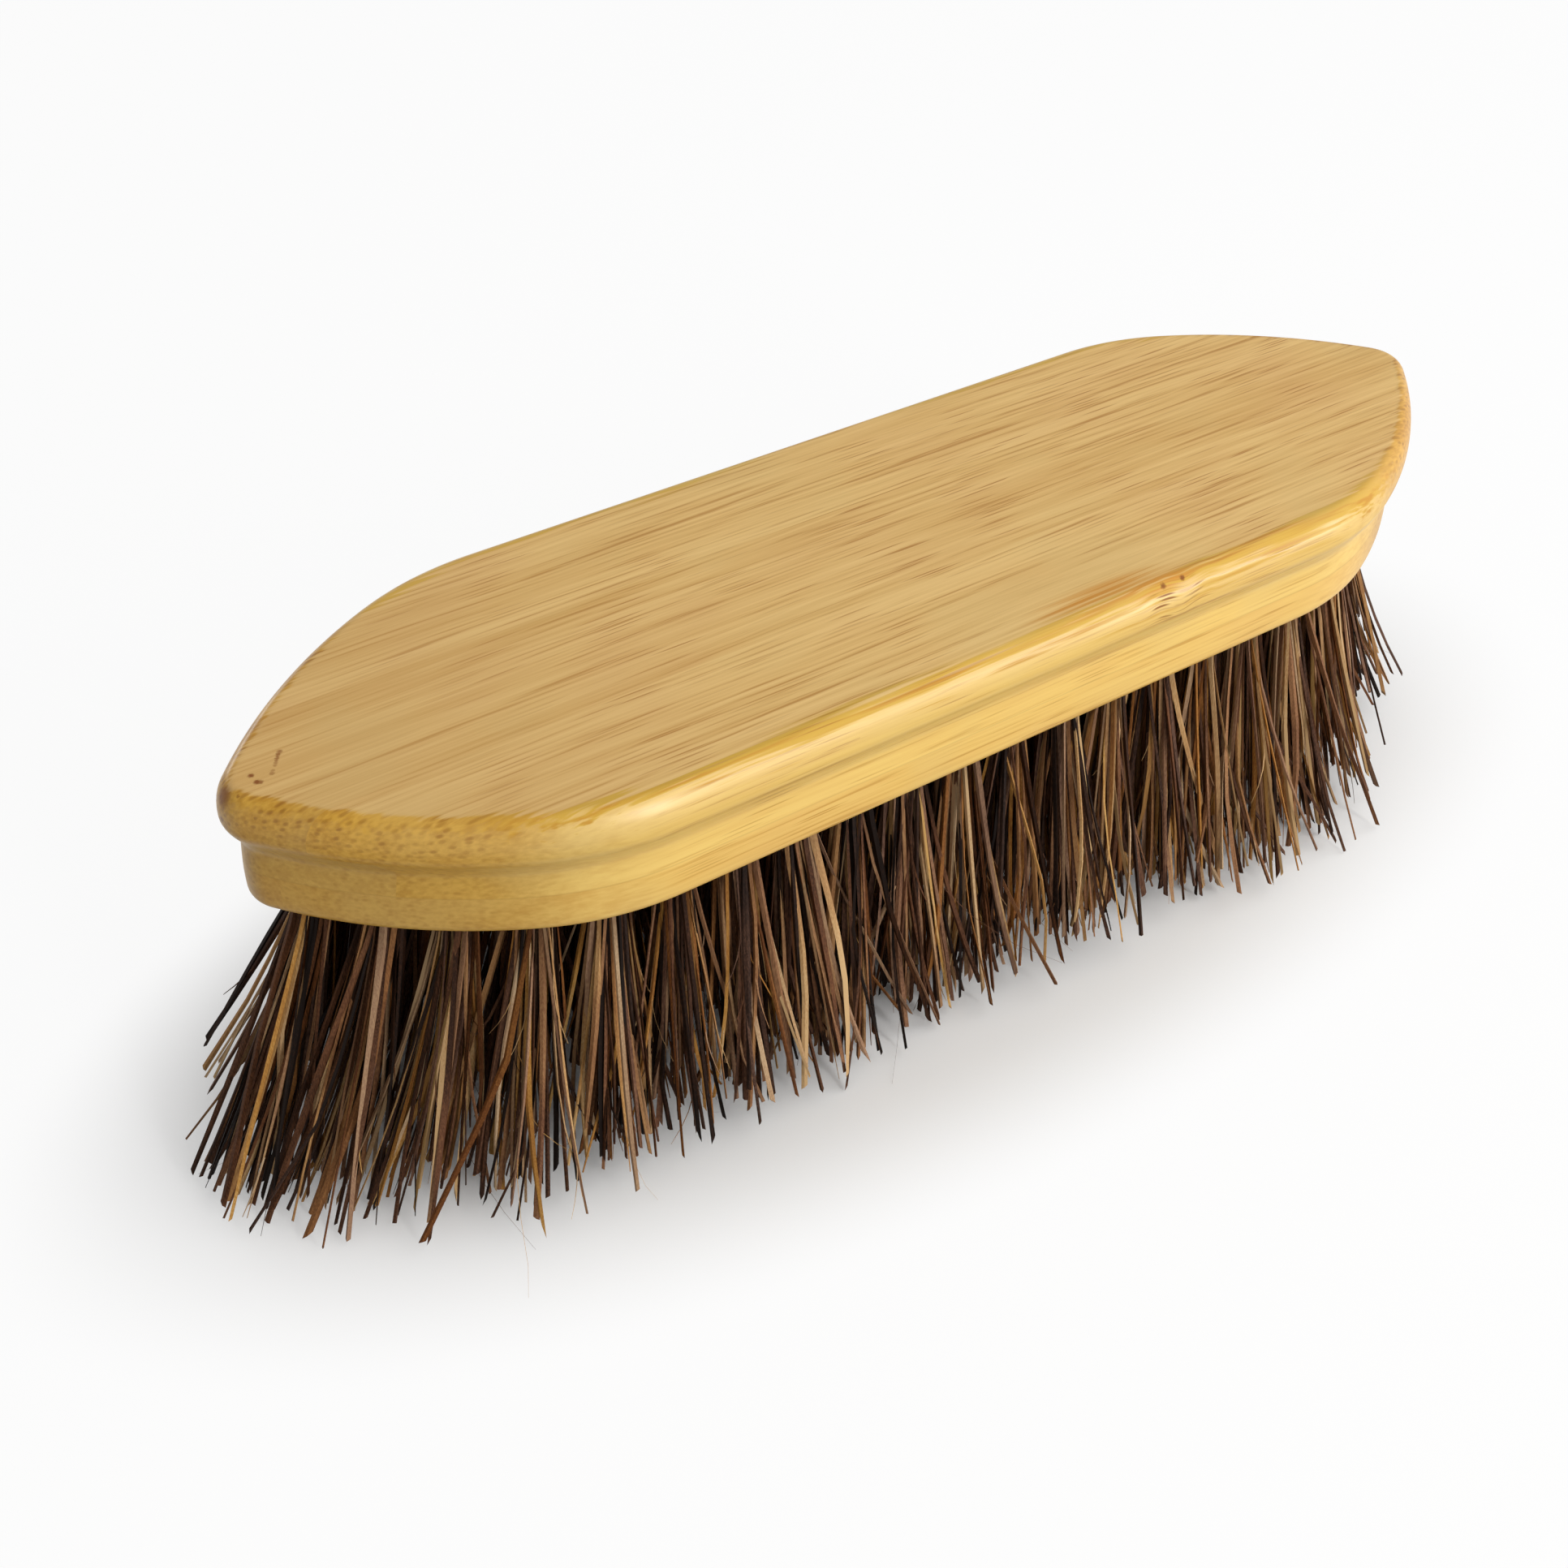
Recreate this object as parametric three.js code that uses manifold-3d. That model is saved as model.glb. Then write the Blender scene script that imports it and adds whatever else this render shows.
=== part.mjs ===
// A dandy brush: a boat-shaped block of laminated bamboo, drilled and set with tufts of stiff palm fibre.
// Units are millimetres. +X runs along the brush and +Z points up through its back.
// Z = 0 is the plane of the trimmed fibre tips, on which the brush stands.
import * as THREE from "three";
import { mergeVertices } from "three/addons/utils/BufferGeometryUtils.js";
import Module from "manifold-3d";

// Block outline, seen from above
const block_length = 205;
const block_width = 62;
const shoulder_radius = 42; // turns each straight side in
const shoulder_turn = THREE.MathUtils.degToRad(26);
const end_radius = 81; // the flatter arc from shoulder to tip
const tip_radius = 7;
const tip_least_radius = 0.2; // what is left of the tip on lines drawn far inside the outline

// Bamboo board: three plies of strips, glued face to face and edge to edge
const back_ply = 6.4;
const core_ply = 6.4;
const face_ply = 6.4;
const strip_width = 20.7; // the back's middle strip

// Moulded edge of the block
const back_edge_inset = 2.8; // rounding of the back, measured across
const back_edge_drop = 5; // the same rounding, measured down to the widest line
const cove_depth = 1.9; // undercut below the widest line
const cove_foot = 9.6; // height of the cove's deepest line over the face
const band_swell = 0.6; // how far the band below the cove swells out again towards the face
const face_edge_radius = 1.8;

// Tufts and the holes that they are set in
const ring_inset = 9.8; // the outer ring's centre line, inside the outline
const ring_spacing = 11; // from the outer ring to the inner ring
const outer_pitch = 9.4;
const inner_pitch = 12;
const hole_diameter = 5.6;
const hole_depth = 11;
const seat_clearance = 0.3; // between a tuft and its hole, and round each backing slice
const slice_thickness = 1; // backing slice that joins the tufts of one group
const slice_margin = 0.4; // wood left beside the holes in that slice

// Fibres, each strand standing for a bundle
const fibre_length = 46; // from the block's face to the tips
const strands_per_tuft = 4;
const strand_radius = 0.95; // at the root, to a corner
const strand_tip_radius = 0.8;
const end_flare = 18; // how far the tufts at the two ends lean out, from root to tip
const side_flare = 8; // the same for those along the sides
const end_fan = 0.9; // how much more those beside the tips lean across, as a share
const strand_bow = 0.3; // how much of the flare comes late, towards the tips
const tip_gap = 0.5; // least gap between neighbouring tufts at the tips
const tip_cut = 0.5; // the longest fibres would reach this far below Z = 0 and are cut flat there
const tip_ragged = 5; // the shortest strand ends this far above the longest
const strand_twist = 0.35; // largest turn of a strand round its tuft, radians

// Facets
const tip_steps = 3;
const end_steps = 5;
const shoulder_steps = 4;
const edge_steps = 3;
const band_steps = 2;
const cove_steps = 5;
const hole_sides = 6;
const strand_sides = 3;
const strand_steps = 2;

const block_height = back_ply + core_ply + face_ply;
const block_face = fibre_length;

const wasm = await Module();
wasm.setup();

// Solids and meshes

function solidOf(geometry) {
  geometry.deleteAttribute("normal");
  geometry.deleteAttribute("uv");
  const merged = mergeVertices(geometry);
  const vertProperties = new Float32Array(merged.attributes.position.array);
  const triVerts = new Uint32Array(merged.index.array);
  return new wasm.Manifold(new wasm.Mesh({ numProp: 3, vertProperties, triVerts }));
}

function joined(solids) {
  return solids.reduce((whole, solid) => whole.add(solid));
}

function meshOf(name, solid, material) {
  const { vertProperties, triVerts } = solid.getMesh();
  const geometry = new THREE.BufferGeometry();
  geometry.setAttribute("position", new THREE.BufferAttribute(vertProperties, 3));
  geometry.setIndex(new THREE.BufferAttribute(triVerts, 1));
  geometry.computeVertexNormals();
  const mesh = new THREE.Mesh(geometry, material);
  mesh.name = name;
  return mesh;
}

// A closed solid through convex rings of equal count, which run anticlockwise and are given upwards.
function loft(rings) {
  const count = rings[0].length;
  const index = [];
  for (let r = 0; r + 1 < rings.length; r++) {
    for (let i = 0; i < count; i++) {
      const a = r * count + i;
      const b = r * count + ((i + 1) % count);
      index.push(a, b, b + count, a, b + count, a + count);
    }
  }
  const last = (rings.length - 1) * count;
  for (let i = 1; i + 1 < count; i++) {
    index.push(0, i + 1, i, last, last + i, last + i + 1);
  }
  const geometry = new THREE.BufferGeometry().setFromPoints(rings.flat());
  return geometry.setIndex(index);
}

function levelRing(points, z) {
  return points.map((p) => new THREE.Vector3(p.x, p.y, z));
}

function boxBetween(low, high) {
  const corners = [
    new THREE.Vector2(low.x, low.y),
    new THREE.Vector2(high.x, low.y),
    new THREE.Vector2(high.x, high.y),
    new THREE.Vector2(low.x, high.y),
  ];
  return solidOf(loft([levelRing(corners, low.z), levelRing(corners, high.z)]));
}

function plate(shape, low, high) {
  const geometry = new THREE.ExtrudeGeometry(shape, { depth: high - low, bevelEnabled: false });
  return solidOf(geometry.translate(0, 0, low));
}

// The boat outline, drawn at any distance inside the block's widest line

const end_centre = new THREE.Vector2();
const shoulder_centre = new THREE.Vector2();

function placeArcCentres() {
  const step = end_radius - shoulder_radius;
  const reach_across = block_width / 2 - shoulder_radius;
  const end_y = reach_across - step * Math.cos(shoulder_turn);
  const end_to_tip = Math.sqrt((end_radius - tip_radius) ** 2 - end_y ** 2) + tip_radius;
  end_centre.set(block_length / 2 - end_to_tip, end_y);
  shoulder_centre.set(end_centre.x + step * Math.sin(shoulder_turn), reach_across);
}
placeArcCentres();

// Points of an arc, by headings that are 0 towards +Y and grow towards +X. The last point is left out.
function arc(centre, radius, from, to, steps) {
  return Array.from({ length: steps }, (_, i) => {
    const heading = THREE.MathUtils.lerp(from, to, i / steps);
    return new THREE.Vector2(Math.sin(heading), Math.cos(heading)).multiplyScalar(radius).add(centre);
  });
}

function outline(inset) {
  const tip = Math.max(tip_radius - inset, tip_least_radius);
  const end = end_radius - inset;
  const tip_run = Math.sqrt((end - tip) ** 2 - end_centre.y ** 2);
  const tip_centre = new THREE.Vector2(end_centre.x + tip_run, 0);
  const tip_turn = Math.atan2(tip_run, -end_centre.y);
  const quarter = [
    ...arc(tip_centre, tip, Math.PI / 2, tip_turn, tip_steps),
    ...arc(end_centre, end, tip_turn, shoulder_turn, end_steps),
    ...arc(shoulder_centre, shoulder_radius - inset, shoulder_turn, 0, shoulder_steps),
    new THREE.Vector2(shoulder_centre.x, block_width / 2 - inset),
  ];
  const mirrored = quarter.slice(1).reverse().map((p) => new THREE.Vector2(-p.x, p.y));
  const half = [...quarter, ...mirrored];
  return [...half, ...half.map((p) => p.clone().negate())];
}

// Tuft groups: two rings that follow the outline and a straight row along the middle

// Only half of the centres are listed. Each has a partner across the brush's middle.
function ringCentres(inset, pitch) {
  const path = new THREE.Path(outline(inset));
  path.closePath();
  const half_count = Math.round(path.getLength() / pitch / 2);
  return path.getSpacedPoints(2 * half_count).slice(0, half_count);
}

function rowCentres(reach, pitch) {
  const half_count = Math.floor(reach / pitch + 0.5);
  return Array.from({ length: half_count }, (_, i) => new THREE.Vector2((i + 0.5) * pitch, 0));
}

function ringBand(inset, half_width) {
  const shape = new THREE.Shape(outline(inset - half_width));
  shape.holes.push(new THREE.Path(outline(inset + half_width)));
  return shape;
}

function rowBand(reach, half_width) {
  const shape = new THREE.Shape();
  shape.absarc(reach, 0, half_width, -Math.PI / 2, Math.PI / 2);
  shape.absarc(-reach, 0, half_width, Math.PI / 2, (3 * Math.PI) / 2);
  return shape;
}

const inner_inset = ring_inset + ring_spacing;
const row_centres = rowCentres(outline(inner_inset)[0].x - inner_pitch, inner_pitch);
const row_reach = row_centres.at(-1).x;
const groups = [
  {
    name: "outer_tuft_ring",
    pitch: outer_pitch,
    centres: ringCentres(ring_inset, outer_pitch),
    band: (half_width) => ringBand(ring_inset, half_width),
  },
  {
    name: "inner_tuft_ring",
    pitch: inner_pitch,
    centres: ringCentres(inner_inset, inner_pitch),
    band: (half_width) => ringBand(inner_inset, half_width),
  },
  {
    name: "centre_tuft_row",
    pitch: inner_pitch,
    centres: row_centres,
    band: (half_width) => rowBand(row_reach, half_width),
  },
];
const ring_side = block_width / 2 - ring_inset;
const inner_side = block_width / 2 - inner_inset;
const slice_half = hole_diameter / 2 + slice_margin;
const slice_top = block_face + slice_thickness;

// Block: a loft up the moulded edge, with the holes drilled and the slices' seats sunk from its face

function edgeProfile() {
  const levels = [];
  const band_inset = cove_depth - band_swell;
  for (let i = 0; i <= edge_steps; i++) {
    const turn = ((i / edge_steps) * Math.PI) / 2;
    levels.push({
      inset: band_inset + face_edge_radius * (1 - Math.sin(turn)),
      z: block_face + face_edge_radius * (1 - Math.cos(turn)),
    });
  }
  for (let i = 1; i < band_steps; i++) {
    const rise = i / band_steps;
    levels.push({
      inset: cove_depth - band_swell * Math.cos((rise * Math.PI) / 2),
      z: block_face + THREE.MathUtils.lerp(face_edge_radius, cove_foot, rise),
    });
  }
  const widest = block_height - back_edge_drop;
  for (let i = 0; i <= cove_steps; i++) {
    const rise = i / cove_steps;
    levels.push({
      inset: cove_depth * (1 - THREE.MathUtils.smoothstep(rise, 0, 1)),
      z: block_face + THREE.MathUtils.lerp(cove_foot, widest, rise),
    });
  }
  for (let i = 1; i <= edge_steps; i++) {
    const turn = ((i / edge_steps) * Math.PI) / 2;
    levels.push({
      inset: back_edge_inset * (1 - Math.cos(turn)),
      z: block_face + widest + back_edge_drop * Math.sin(turn),
    });
  }
  return levels;
}

function prism(centre, radius, low, high) {
  const geometry = new THREE.CylinderGeometry(radius, radius, high - low, hole_sides);
  geometry.rotateX(Math.PI / 2);
  return solidOf(geometry.translate(centre.x, centre.y, (low + high) / 2));
}

function drilledBlock() {
  const rings = edgeProfile().map(({ inset, z }) => levelRing(outline(inset), z));
  const below = block_face - slice_thickness;
  const cuts = [];
  for (const { centres, band } of groups) {
    cuts.push(plate(band(slice_half + seat_clearance), below, slice_top));
    for (const centre of centres) {
      for (const place of [centre, centre.clone().negate()]) {
        cuts.push(prism(place, hole_diameter / 2, below, block_face + hole_depth));
      }
    }
  }
  return solidOf(loft(rings)).subtract(joined(cuts));
}

const bamboo_back = new THREE.MeshStandardMaterial({ color: "#d2ac6b", roughness: 0.42 });
const bamboo_core = new THREE.MeshStandardMaterial({ color: "#e0bd74", roughness: 0.45 });
const bamboo_face = new THREE.MeshStandardMaterial({ color: "#d4a654", roughness: 0.48 });
const palm_fibre = new THREE.MeshStandardMaterial({ color: "#4b3220", roughness: 0.8 });

// The drilled plies are glued midway between rows of holes, and the core the other way round from the face.
const near_middle = inner_side / 2;
const near_side = (inner_side + ring_side) / 2;
const plies = [
  { name: "face_ply", thickness: face_ply, joints: [-near_middle, near_side], material: bamboo_face },
  { name: "core_ply", thickness: core_ply, joints: [-near_side, near_middle], material: bamboo_core },
  {
    name: "back_ply",
    thickness: back_ply,
    joints: [-strip_width / 2, strip_width / 2],
    material: bamboo_back,
  },
];
const strip_names = ["near_strip", "middle_strip", "far_strip"];

function blockStrips() {
  const block = drilledBlock();
  const strips = [];
  let bottom = block_face;
  for (const { name, thickness, joints, material } of plies) {
    const edges = [-block_width, ...joints, block_width];
    strip_names.forEach((strip, i) => {
      const low = new THREE.Vector3(-block_length, edges[i], bottom);
      const high = new THREE.Vector3(block_length, edges[i + 1], bottom + thickness);
      strips.push(meshOf(`${name}_${strip}`, block.intersect(boxBetween(low, high)), material));
    });
    bottom += thickness;
  }
  return strips;
}

// Tufts: a folded root in each hole, and strands that flare out from it to the trimmed tips

let seed = 20;
function random() {
  seed = (seed * 16807) % 2147483647;
  return seed / 2147483647;
}

function polar(radius, angle) {
  return new THREE.Vector2(Math.cos(angle), Math.sin(angle)).multiplyScalar(radius);
}

const root_z = block_face + slice_thickness / 2;
const root_radius = hole_diameter / 2 - seat_clearance;
const root_circle = root_radius - strand_radius;
const ring_tip = outline(ring_inset)[0].x;

// Where a tuft's middle ends up at the tips: upright in the middle of the brush, leaning out at its rim.
function flared(centre) {
  const along = centre.x / ring_tip;
  const across = centre.y / ring_side;
  const lean_along = end_flare * along ** 3;
  const lean_across = side_flare * across * (1 + end_fan * along ** 2);
  return new THREE.Vector2(centre.x + lean_along, centre.y + lean_across);
}

// The strands of a tuft before it is placed: their angles, and how far each spreads and reaches.
function drawTuft(pitch) {
  const tip_circle = (pitch - tip_gap) / 2 - strand_tip_radius;
  const turn = random() * Math.PI;
  return Array.from({ length: strands_per_tuft }, (_, i) => ({
    angle: turn + (i / strands_per_tuft) * 2 * Math.PI,
    twist: (random() * 2 - 1) * strand_twist,
    spread: tip_circle * (0.6 + 0.4 * random()),
    tip_z: Math.max(0, tip_ragged * (random() * 2 - 1) - tip_cut),
  }));
}

function strand(centre, half_turn, { angle, twist, spread, tip_z }) {
  const around = angle + half_turn;
  const root = polar(root_circle, around).add(centre);
  const tip = polar(spread, around + twist).add(flared(centre));
  const whole_drop = root_z + tip_cut;
  const rings = [];
  for (let step = strand_steps; step >= 0; step--) {
    const z = THREE.MathUtils.lerp(root_z, tip_z, step / strand_steps);
    const drop = (root_z - z) / whole_drop;
    const middle = root.clone().lerp(tip, drop * (1 + strand_bow * (drop - 1)));
    const radius = THREE.MathUtils.lerp(strand_radius, strand_tip_radius, drop);
    const corners = Array.from({ length: strand_sides }, (_, i) =>
      polar(radius, around + (i / strand_sides) * 2 * Math.PI).add(middle),
    );
    rings.push(levelRing(corners, z));
  }
  return solidOf(loft(rings));
}

function tuftGroup({ name, pitch, centres, band }) {
  const pieces = [plate(band(slice_half), block_face, slice_top)];
  for (const centre of centres) {
    const strands = drawTuft(pitch);
    for (const half_turn of [0, Math.PI]) {
      const place = half_turn ? centre.clone().negate() : centre;
      pieces.push(prism(place, root_radius, root_z, block_face + hole_depth - seat_clearance));
      pieces.push(...strands.map((one) => strand(place, half_turn, one)));
    }
  }
  return meshOf(name, joined(pieces), palm_fibre);
}

const dandy_brush = new THREE.Group();
dandy_brush.name = "dandy_brush";
dandy_brush.add(...blockStrips());
dandy_brush.add(...groups.map(tuftGroup));

export default dandy_brush;
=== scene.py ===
# %% [markdown]
# # A dandy brush in bamboo and palm fibre
#
# This lesson dresses a grooming brush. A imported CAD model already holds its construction: nine strips of
# bamboo, glued into a boat-shaped block, and tufts of stiff fibre set in the block's lower face. Blender
# adds what the eye asks for: a smooth moulded edge, bamboo grain under lacquer, and some thousands of
# single fibres. The CAD model is loaded first, as a frame that nothing moves, so that every new piece
# lands in its place at its real size.

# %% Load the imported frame
import math

import bmesh
import bpy
import numpy as np
from mathutils import Matrix, Quaternion, Vector


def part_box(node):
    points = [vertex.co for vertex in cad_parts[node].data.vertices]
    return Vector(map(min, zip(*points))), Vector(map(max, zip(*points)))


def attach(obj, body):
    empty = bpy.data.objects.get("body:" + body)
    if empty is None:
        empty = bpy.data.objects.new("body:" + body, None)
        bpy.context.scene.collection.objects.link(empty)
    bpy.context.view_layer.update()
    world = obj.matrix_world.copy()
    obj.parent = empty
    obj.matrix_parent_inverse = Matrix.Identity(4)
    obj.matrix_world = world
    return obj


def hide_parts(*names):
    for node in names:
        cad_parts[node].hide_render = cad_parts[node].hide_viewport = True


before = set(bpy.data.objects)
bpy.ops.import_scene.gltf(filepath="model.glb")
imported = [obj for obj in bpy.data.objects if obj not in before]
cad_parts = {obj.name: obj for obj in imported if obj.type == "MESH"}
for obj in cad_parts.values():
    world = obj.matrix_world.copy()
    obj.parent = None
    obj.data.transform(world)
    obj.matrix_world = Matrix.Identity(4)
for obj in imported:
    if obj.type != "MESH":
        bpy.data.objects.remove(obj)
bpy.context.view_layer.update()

MM = 0.001
print("CAD nodes:", sorted(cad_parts))

# %% [markdown]
# ## Measures
#
# Blender works in metres, but a brush is easier to think about in millimetres, so the lesson keeps
# millimetres and multiplies by MM when a mesh is made. The overall sizes are read from the frame: the
# block's length and width, the height of its face and back, and the heights and places of the glue
# joints. What a box can't tell is written here as the maker would give it: the radii of the outline, the
# moulding, and the holes.

# %% Read the block's sizes from the frame
PLIES = ("face_ply", "core_ply", "back_ply")
STRIPS = ("near_strip", "middle_strip", "far_strip")


def node_box(node):
    """Lowest and highest corner of a CAD node, in millimetres."""
    low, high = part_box(node)
    return low / MM, high / MM


half_length = node_box("back_ply_middle_strip")[1].x
half_width = node_box("back_ply_far_strip")[1].y
block_face = node_box("face_ply_middle_strip")[0].z
block_back = node_box("back_ply_middle_strip")[1].z

shoulder_radius = 42.0
shoulder_turn = math.radians(26)
end_radius = 81.0
tip_radius = 7.0
tip_least_radius = 0.2

back_edge_inset = 2.8
back_edge_drop = 5.0
cove_depth = 1.9
cove_foot = 9.6
band_swell = 0.6
face_edge_radius = 1.8
flat_rim = 0.3

ring_inset = 9.8
ring_spacing = 11.0
outer_pitch = 9.4
inner_pitch = 12.0
hole_diameter = 5.6
hole_depth = 11.0

print(f"block {2 * half_length:.1f} x {2 * half_width:.1f} mm, {block_face:.1f} to {block_back:.1f} mm high")

# %% [markdown]
# ## Small helpers
#
# A few things come back again and again. Colours are picked as sRGB hex values, as a paint chart gives
# them, but shaders calculate with linear light, so one function turns the one into the other. A shader is
# a tree of nodes, and one function adds a node, sets it and links it. Settings that many nodes share have
# short names. Every new mesh has to ride on the brush's only body, so that it moves with the CAD part,
# and some meshes carry a value for each vertex that their material reads.

# %% Define the helpers
SMOOTH = {"interpolation_type": "SMOOTHSTEP"}
COLOURS = {"data_type": "RGBA", "out": 2}
PLUS, MINUS, TIMES = ({"operation": name} for name in ("ADD", "SUBTRACT", "MULTIPLY"))
TIMES_PLUS, LARGER = ({"operation": name} for name in ("MULTIPLY_ADD", "MAXIMUM"))


def linear(hex_colour):
    """An sRGB hex colour as linear RGBA."""
    srgb = [int(hex_colour[i : i + 2], 16) / 255 for i in (1, 3, 5)]
    return [c / 12.92 if c <= 0.04045 else ((c + 0.055) / 1.055) ** 2.4 for c in srgb] + [1.0]


def add(tree, kind, inputs=(), out=0, stops=(), **settings):
    """Adds a shader node, sets it, gives its inputs values or links, and returns one of its outputs."""
    node = tree.nodes.new("ShaderNode" + kind)
    for name, value in settings.items():
        setattr(node, name, value)
    for socket, value in inputs.items() if isinstance(inputs, dict) else enumerate(inputs):
        if isinstance(value, bpy.types.NodeSocket):
            tree.links.new(value, node.inputs[socket])
        else:
            node.inputs[socket].default_value = value
    for i, (place, hex_colour) in enumerate(stops):
        stop = node.color_ramp.elements[i] if i < 2 else node.color_ramp.elements.new(place)
        stop.position = place
        stop.color = linear(hex_colour)
    return node.outputs[out] if node.outputs else None


def new_material(name):
    """A material without nodes, and its tree."""
    material = bpy.data.materials.new(name)
    material.use_nodes = True
    material.node_tree.nodes.clear()
    return material, material.node_tree


def per_mm(*spacings):
    """Texture scales, in repeats per metre, for spacings in millimetres."""
    return [1 / (spacing * MM) for spacing in spacings]


def linked(name, data):
    """A new object in the scene that shows the data."""
    thing = bpy.data.objects.new(name, data)
    bpy.context.scene.collection.objects.link(thing)
    return thing


def add_piece(name, mesh, material):
    """Links a mesh as a piece that rides on the brush."""
    mesh.materials.append(material)
    piece = linked(name, mesh)
    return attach(piece, "root")


def store(mesh, name, values):
    """Keeps a number or a vector with every vertex, for the material to read."""
    kind, key = ("FLOAT", "value") if values.ndim == 1 else ("FLOAT_VECTOR", "vector")
    mesh.attributes.new(name, kind, "POINT").data.foreach_set(key, values.astype(np.float32).ravel())


print("helpers ready")

# %% [markdown]
# ## The boat outline
#
# Seen from above, the block has straight sides, a shoulder that turns each side in, a long flat arc
# towards the tip, and a small round tip. A curve object or a traced drawing could give that, but tangent
# arcs are how a template for the router would be drawn, and they can be offset by changing each radius by
# the same amount. That matters here: the moulded edge is the same outline drawn a little further in at
# each height, and the tufts follow it too.

# %% Draw the outline at any inset
TIP_STEPS, END_STEPS, SHOULDER_STEPS = 8, 22, 12

radius_step = end_radius - shoulder_radius
shoulder_y = half_width - shoulder_radius
end_y = shoulder_y - radius_step * math.cos(shoulder_turn)
end_x = half_length - tip_radius - math.sqrt((end_radius - tip_radius) ** 2 - end_y**2)
shoulder_x = end_x + radius_step * math.sin(shoulder_turn)


def arc(centre_x, centre_y, radius, start, stop, steps):
    """Points of an arc but for its last one, by headings that are 0 towards +Y and grow towards +X."""
    headings = start + (stop - start) * np.arange(steps) / steps
    return np.column_stack([centre_x + radius * np.sin(headings), centre_y + radius * np.cos(headings)])


def outline(inset):
    """The closed outline, anticlockwise from the tip at +X."""
    tip = max(tip_radius - inset, tip_least_radius)
    end = end_radius - inset
    tip_run = math.sqrt((end - tip) ** 2 - end_y**2)
    tip_turn = math.atan2(tip_run, -end_y)
    quarter = np.vstack(
        [
            arc(end_x + tip_run, 0, tip, math.pi / 2, tip_turn, TIP_STEPS),
            arc(end_x, end_y, end, tip_turn, shoulder_turn, END_STEPS),
            arc(shoulder_x, shoulder_y, shoulder_radius - inset, shoulder_turn, 0, SHOULDER_STEPS),
            [(shoulder_x, half_width - inset)],
        ]
    )
    half = np.vstack([quarter, quarter[:0:-1] * (-1, 1)])
    return np.vstack([half, -half])


print(f"{len(outline(0))} outline points, straight sides {2 * shoulder_x:.1f} mm long")

# %% [markdown]
# ## The moulded edge
#
# A router runs round the block with a shaped cutter. From the face upwards the cutter leaves a small
# rounding, a band that draws in very slightly, a cove, and a bullnose that rolls over into the flat back.
# Subdivision would only give soft bulges, so the profile is written down as inset and height, with enough
# steps that it looks round up close. One more ring just inside each flat face keeps the shading of the
# flat perfectly flat.

# %% Loft the block
ROUNDING_LEVELS, BAND_LEVELS, COVE_LEVELS, BULLNOSE_LEVELS = 8, 7, 13, 15


def edge_profile():
    """Inset and height over the face, from the face up to the back."""
    band_inset = cove_depth - band_swell
    levels = [(band_inset + face_edge_radius + flat_rim, 0.0)]
    for turn in np.linspace(0, math.pi / 2, ROUNDING_LEVELS):
        inset = band_inset + face_edge_radius * (1 - math.sin(turn))
        levels.append((inset, face_edge_radius * (1 - math.cos(turn))))
    for rise in np.linspace(0, 1, BAND_LEVELS)[1:-1]:
        inset = cove_depth - band_swell * math.cos(rise * math.pi / 2)
        levels.append((inset, face_edge_radius + (cove_foot - face_edge_radius) * rise))
    widest = block_back - block_face - back_edge_drop
    for rise in np.linspace(0, 1, COVE_LEVELS):
        inset = cove_depth * (1 - rise * rise * (3 - 2 * rise))
        levels.append((inset, cove_foot + (widest - cove_foot) * rise))
    for turn in np.linspace(0, math.pi / 2, BULLNOSE_LEVELS)[1:]:
        inset = back_edge_inset * (1 - math.cos(turn))
        levels.append((inset, widest + back_edge_drop * math.sin(turn)))
    levels.append((back_edge_inset + flat_rim, block_back - block_face))
    return levels


def lofted_block():
    """The whole block as one closed mesh, through the outline at each level of the profile."""
    solid = bmesh.new()
    rings = []
    for inset, height in edge_profile():
        rings.append([solid.verts.new((x, y, block_face + height)) for x, y in outline(inset)])
    for lower, upper in zip(rings, rings[1:]):
        for i in range(len(lower)):
            j = (i + 1) % len(lower)
            solid.faces.new((lower[i], lower[j], upper[j], upper[i]))
    solid.faces.new(rings[0][::-1])
    solid.faces.new(rings[-1])
    return solid


block = lofted_block()
print(f"block loft: {len(block.faces)} faces, {block.calc_volume() / 1000:.1f} cubic centimetres")

# %% [markdown]
# ## Where the tufts sit
#
# The face is drilled in two rings that follow the outline, and in one row along the middle. A spacing jig
# would step round the outline at a constant pitch, so that is what happens here: the closed path is
# measured, divided into a whole number of equal steps, and walked.


# %% Place the tufts
def ring_places(inset, pitch):
    """Evenly spaced points on the outline at that inset, starting at the tip at +X."""
    path = outline(inset)
    closed = np.vstack([path, path[:1]])
    walked = np.concatenate([[0], np.cumsum(np.linalg.norm(np.diff(closed, axis=0), axis=1))])
    count = 2 * round(walked[-1] / pitch / 2)
    stations = np.arange(count) * walked[-1] / count
    return np.column_stack([np.interp(stations, walked, closed[:, axis]) for axis in (0, 1)])


def row_places(reach, pitch):
    """Evenly spaced points along the middle, as many on either side of the origin."""
    half_count = math.floor(reach / pitch + 0.5)
    along = (np.arange(2 * half_count) - half_count + 0.5) * pitch
    return np.column_stack([along, np.zeros_like(along)])


inner_inset = ring_inset + ring_spacing
tuft_places = {
    "outer_tuft_ring": ring_places(ring_inset, outer_pitch),
    "inner_tuft_ring": ring_places(inner_inset, inner_pitch),
    "centre_tuft_row": row_places(outline(inner_inset)[0][0] - inner_pitch, inner_pitch),
}
all_places = np.vstack(list(tuft_places.values()))
print({group: len(places) for group, places in tuft_places.items()})

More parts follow.
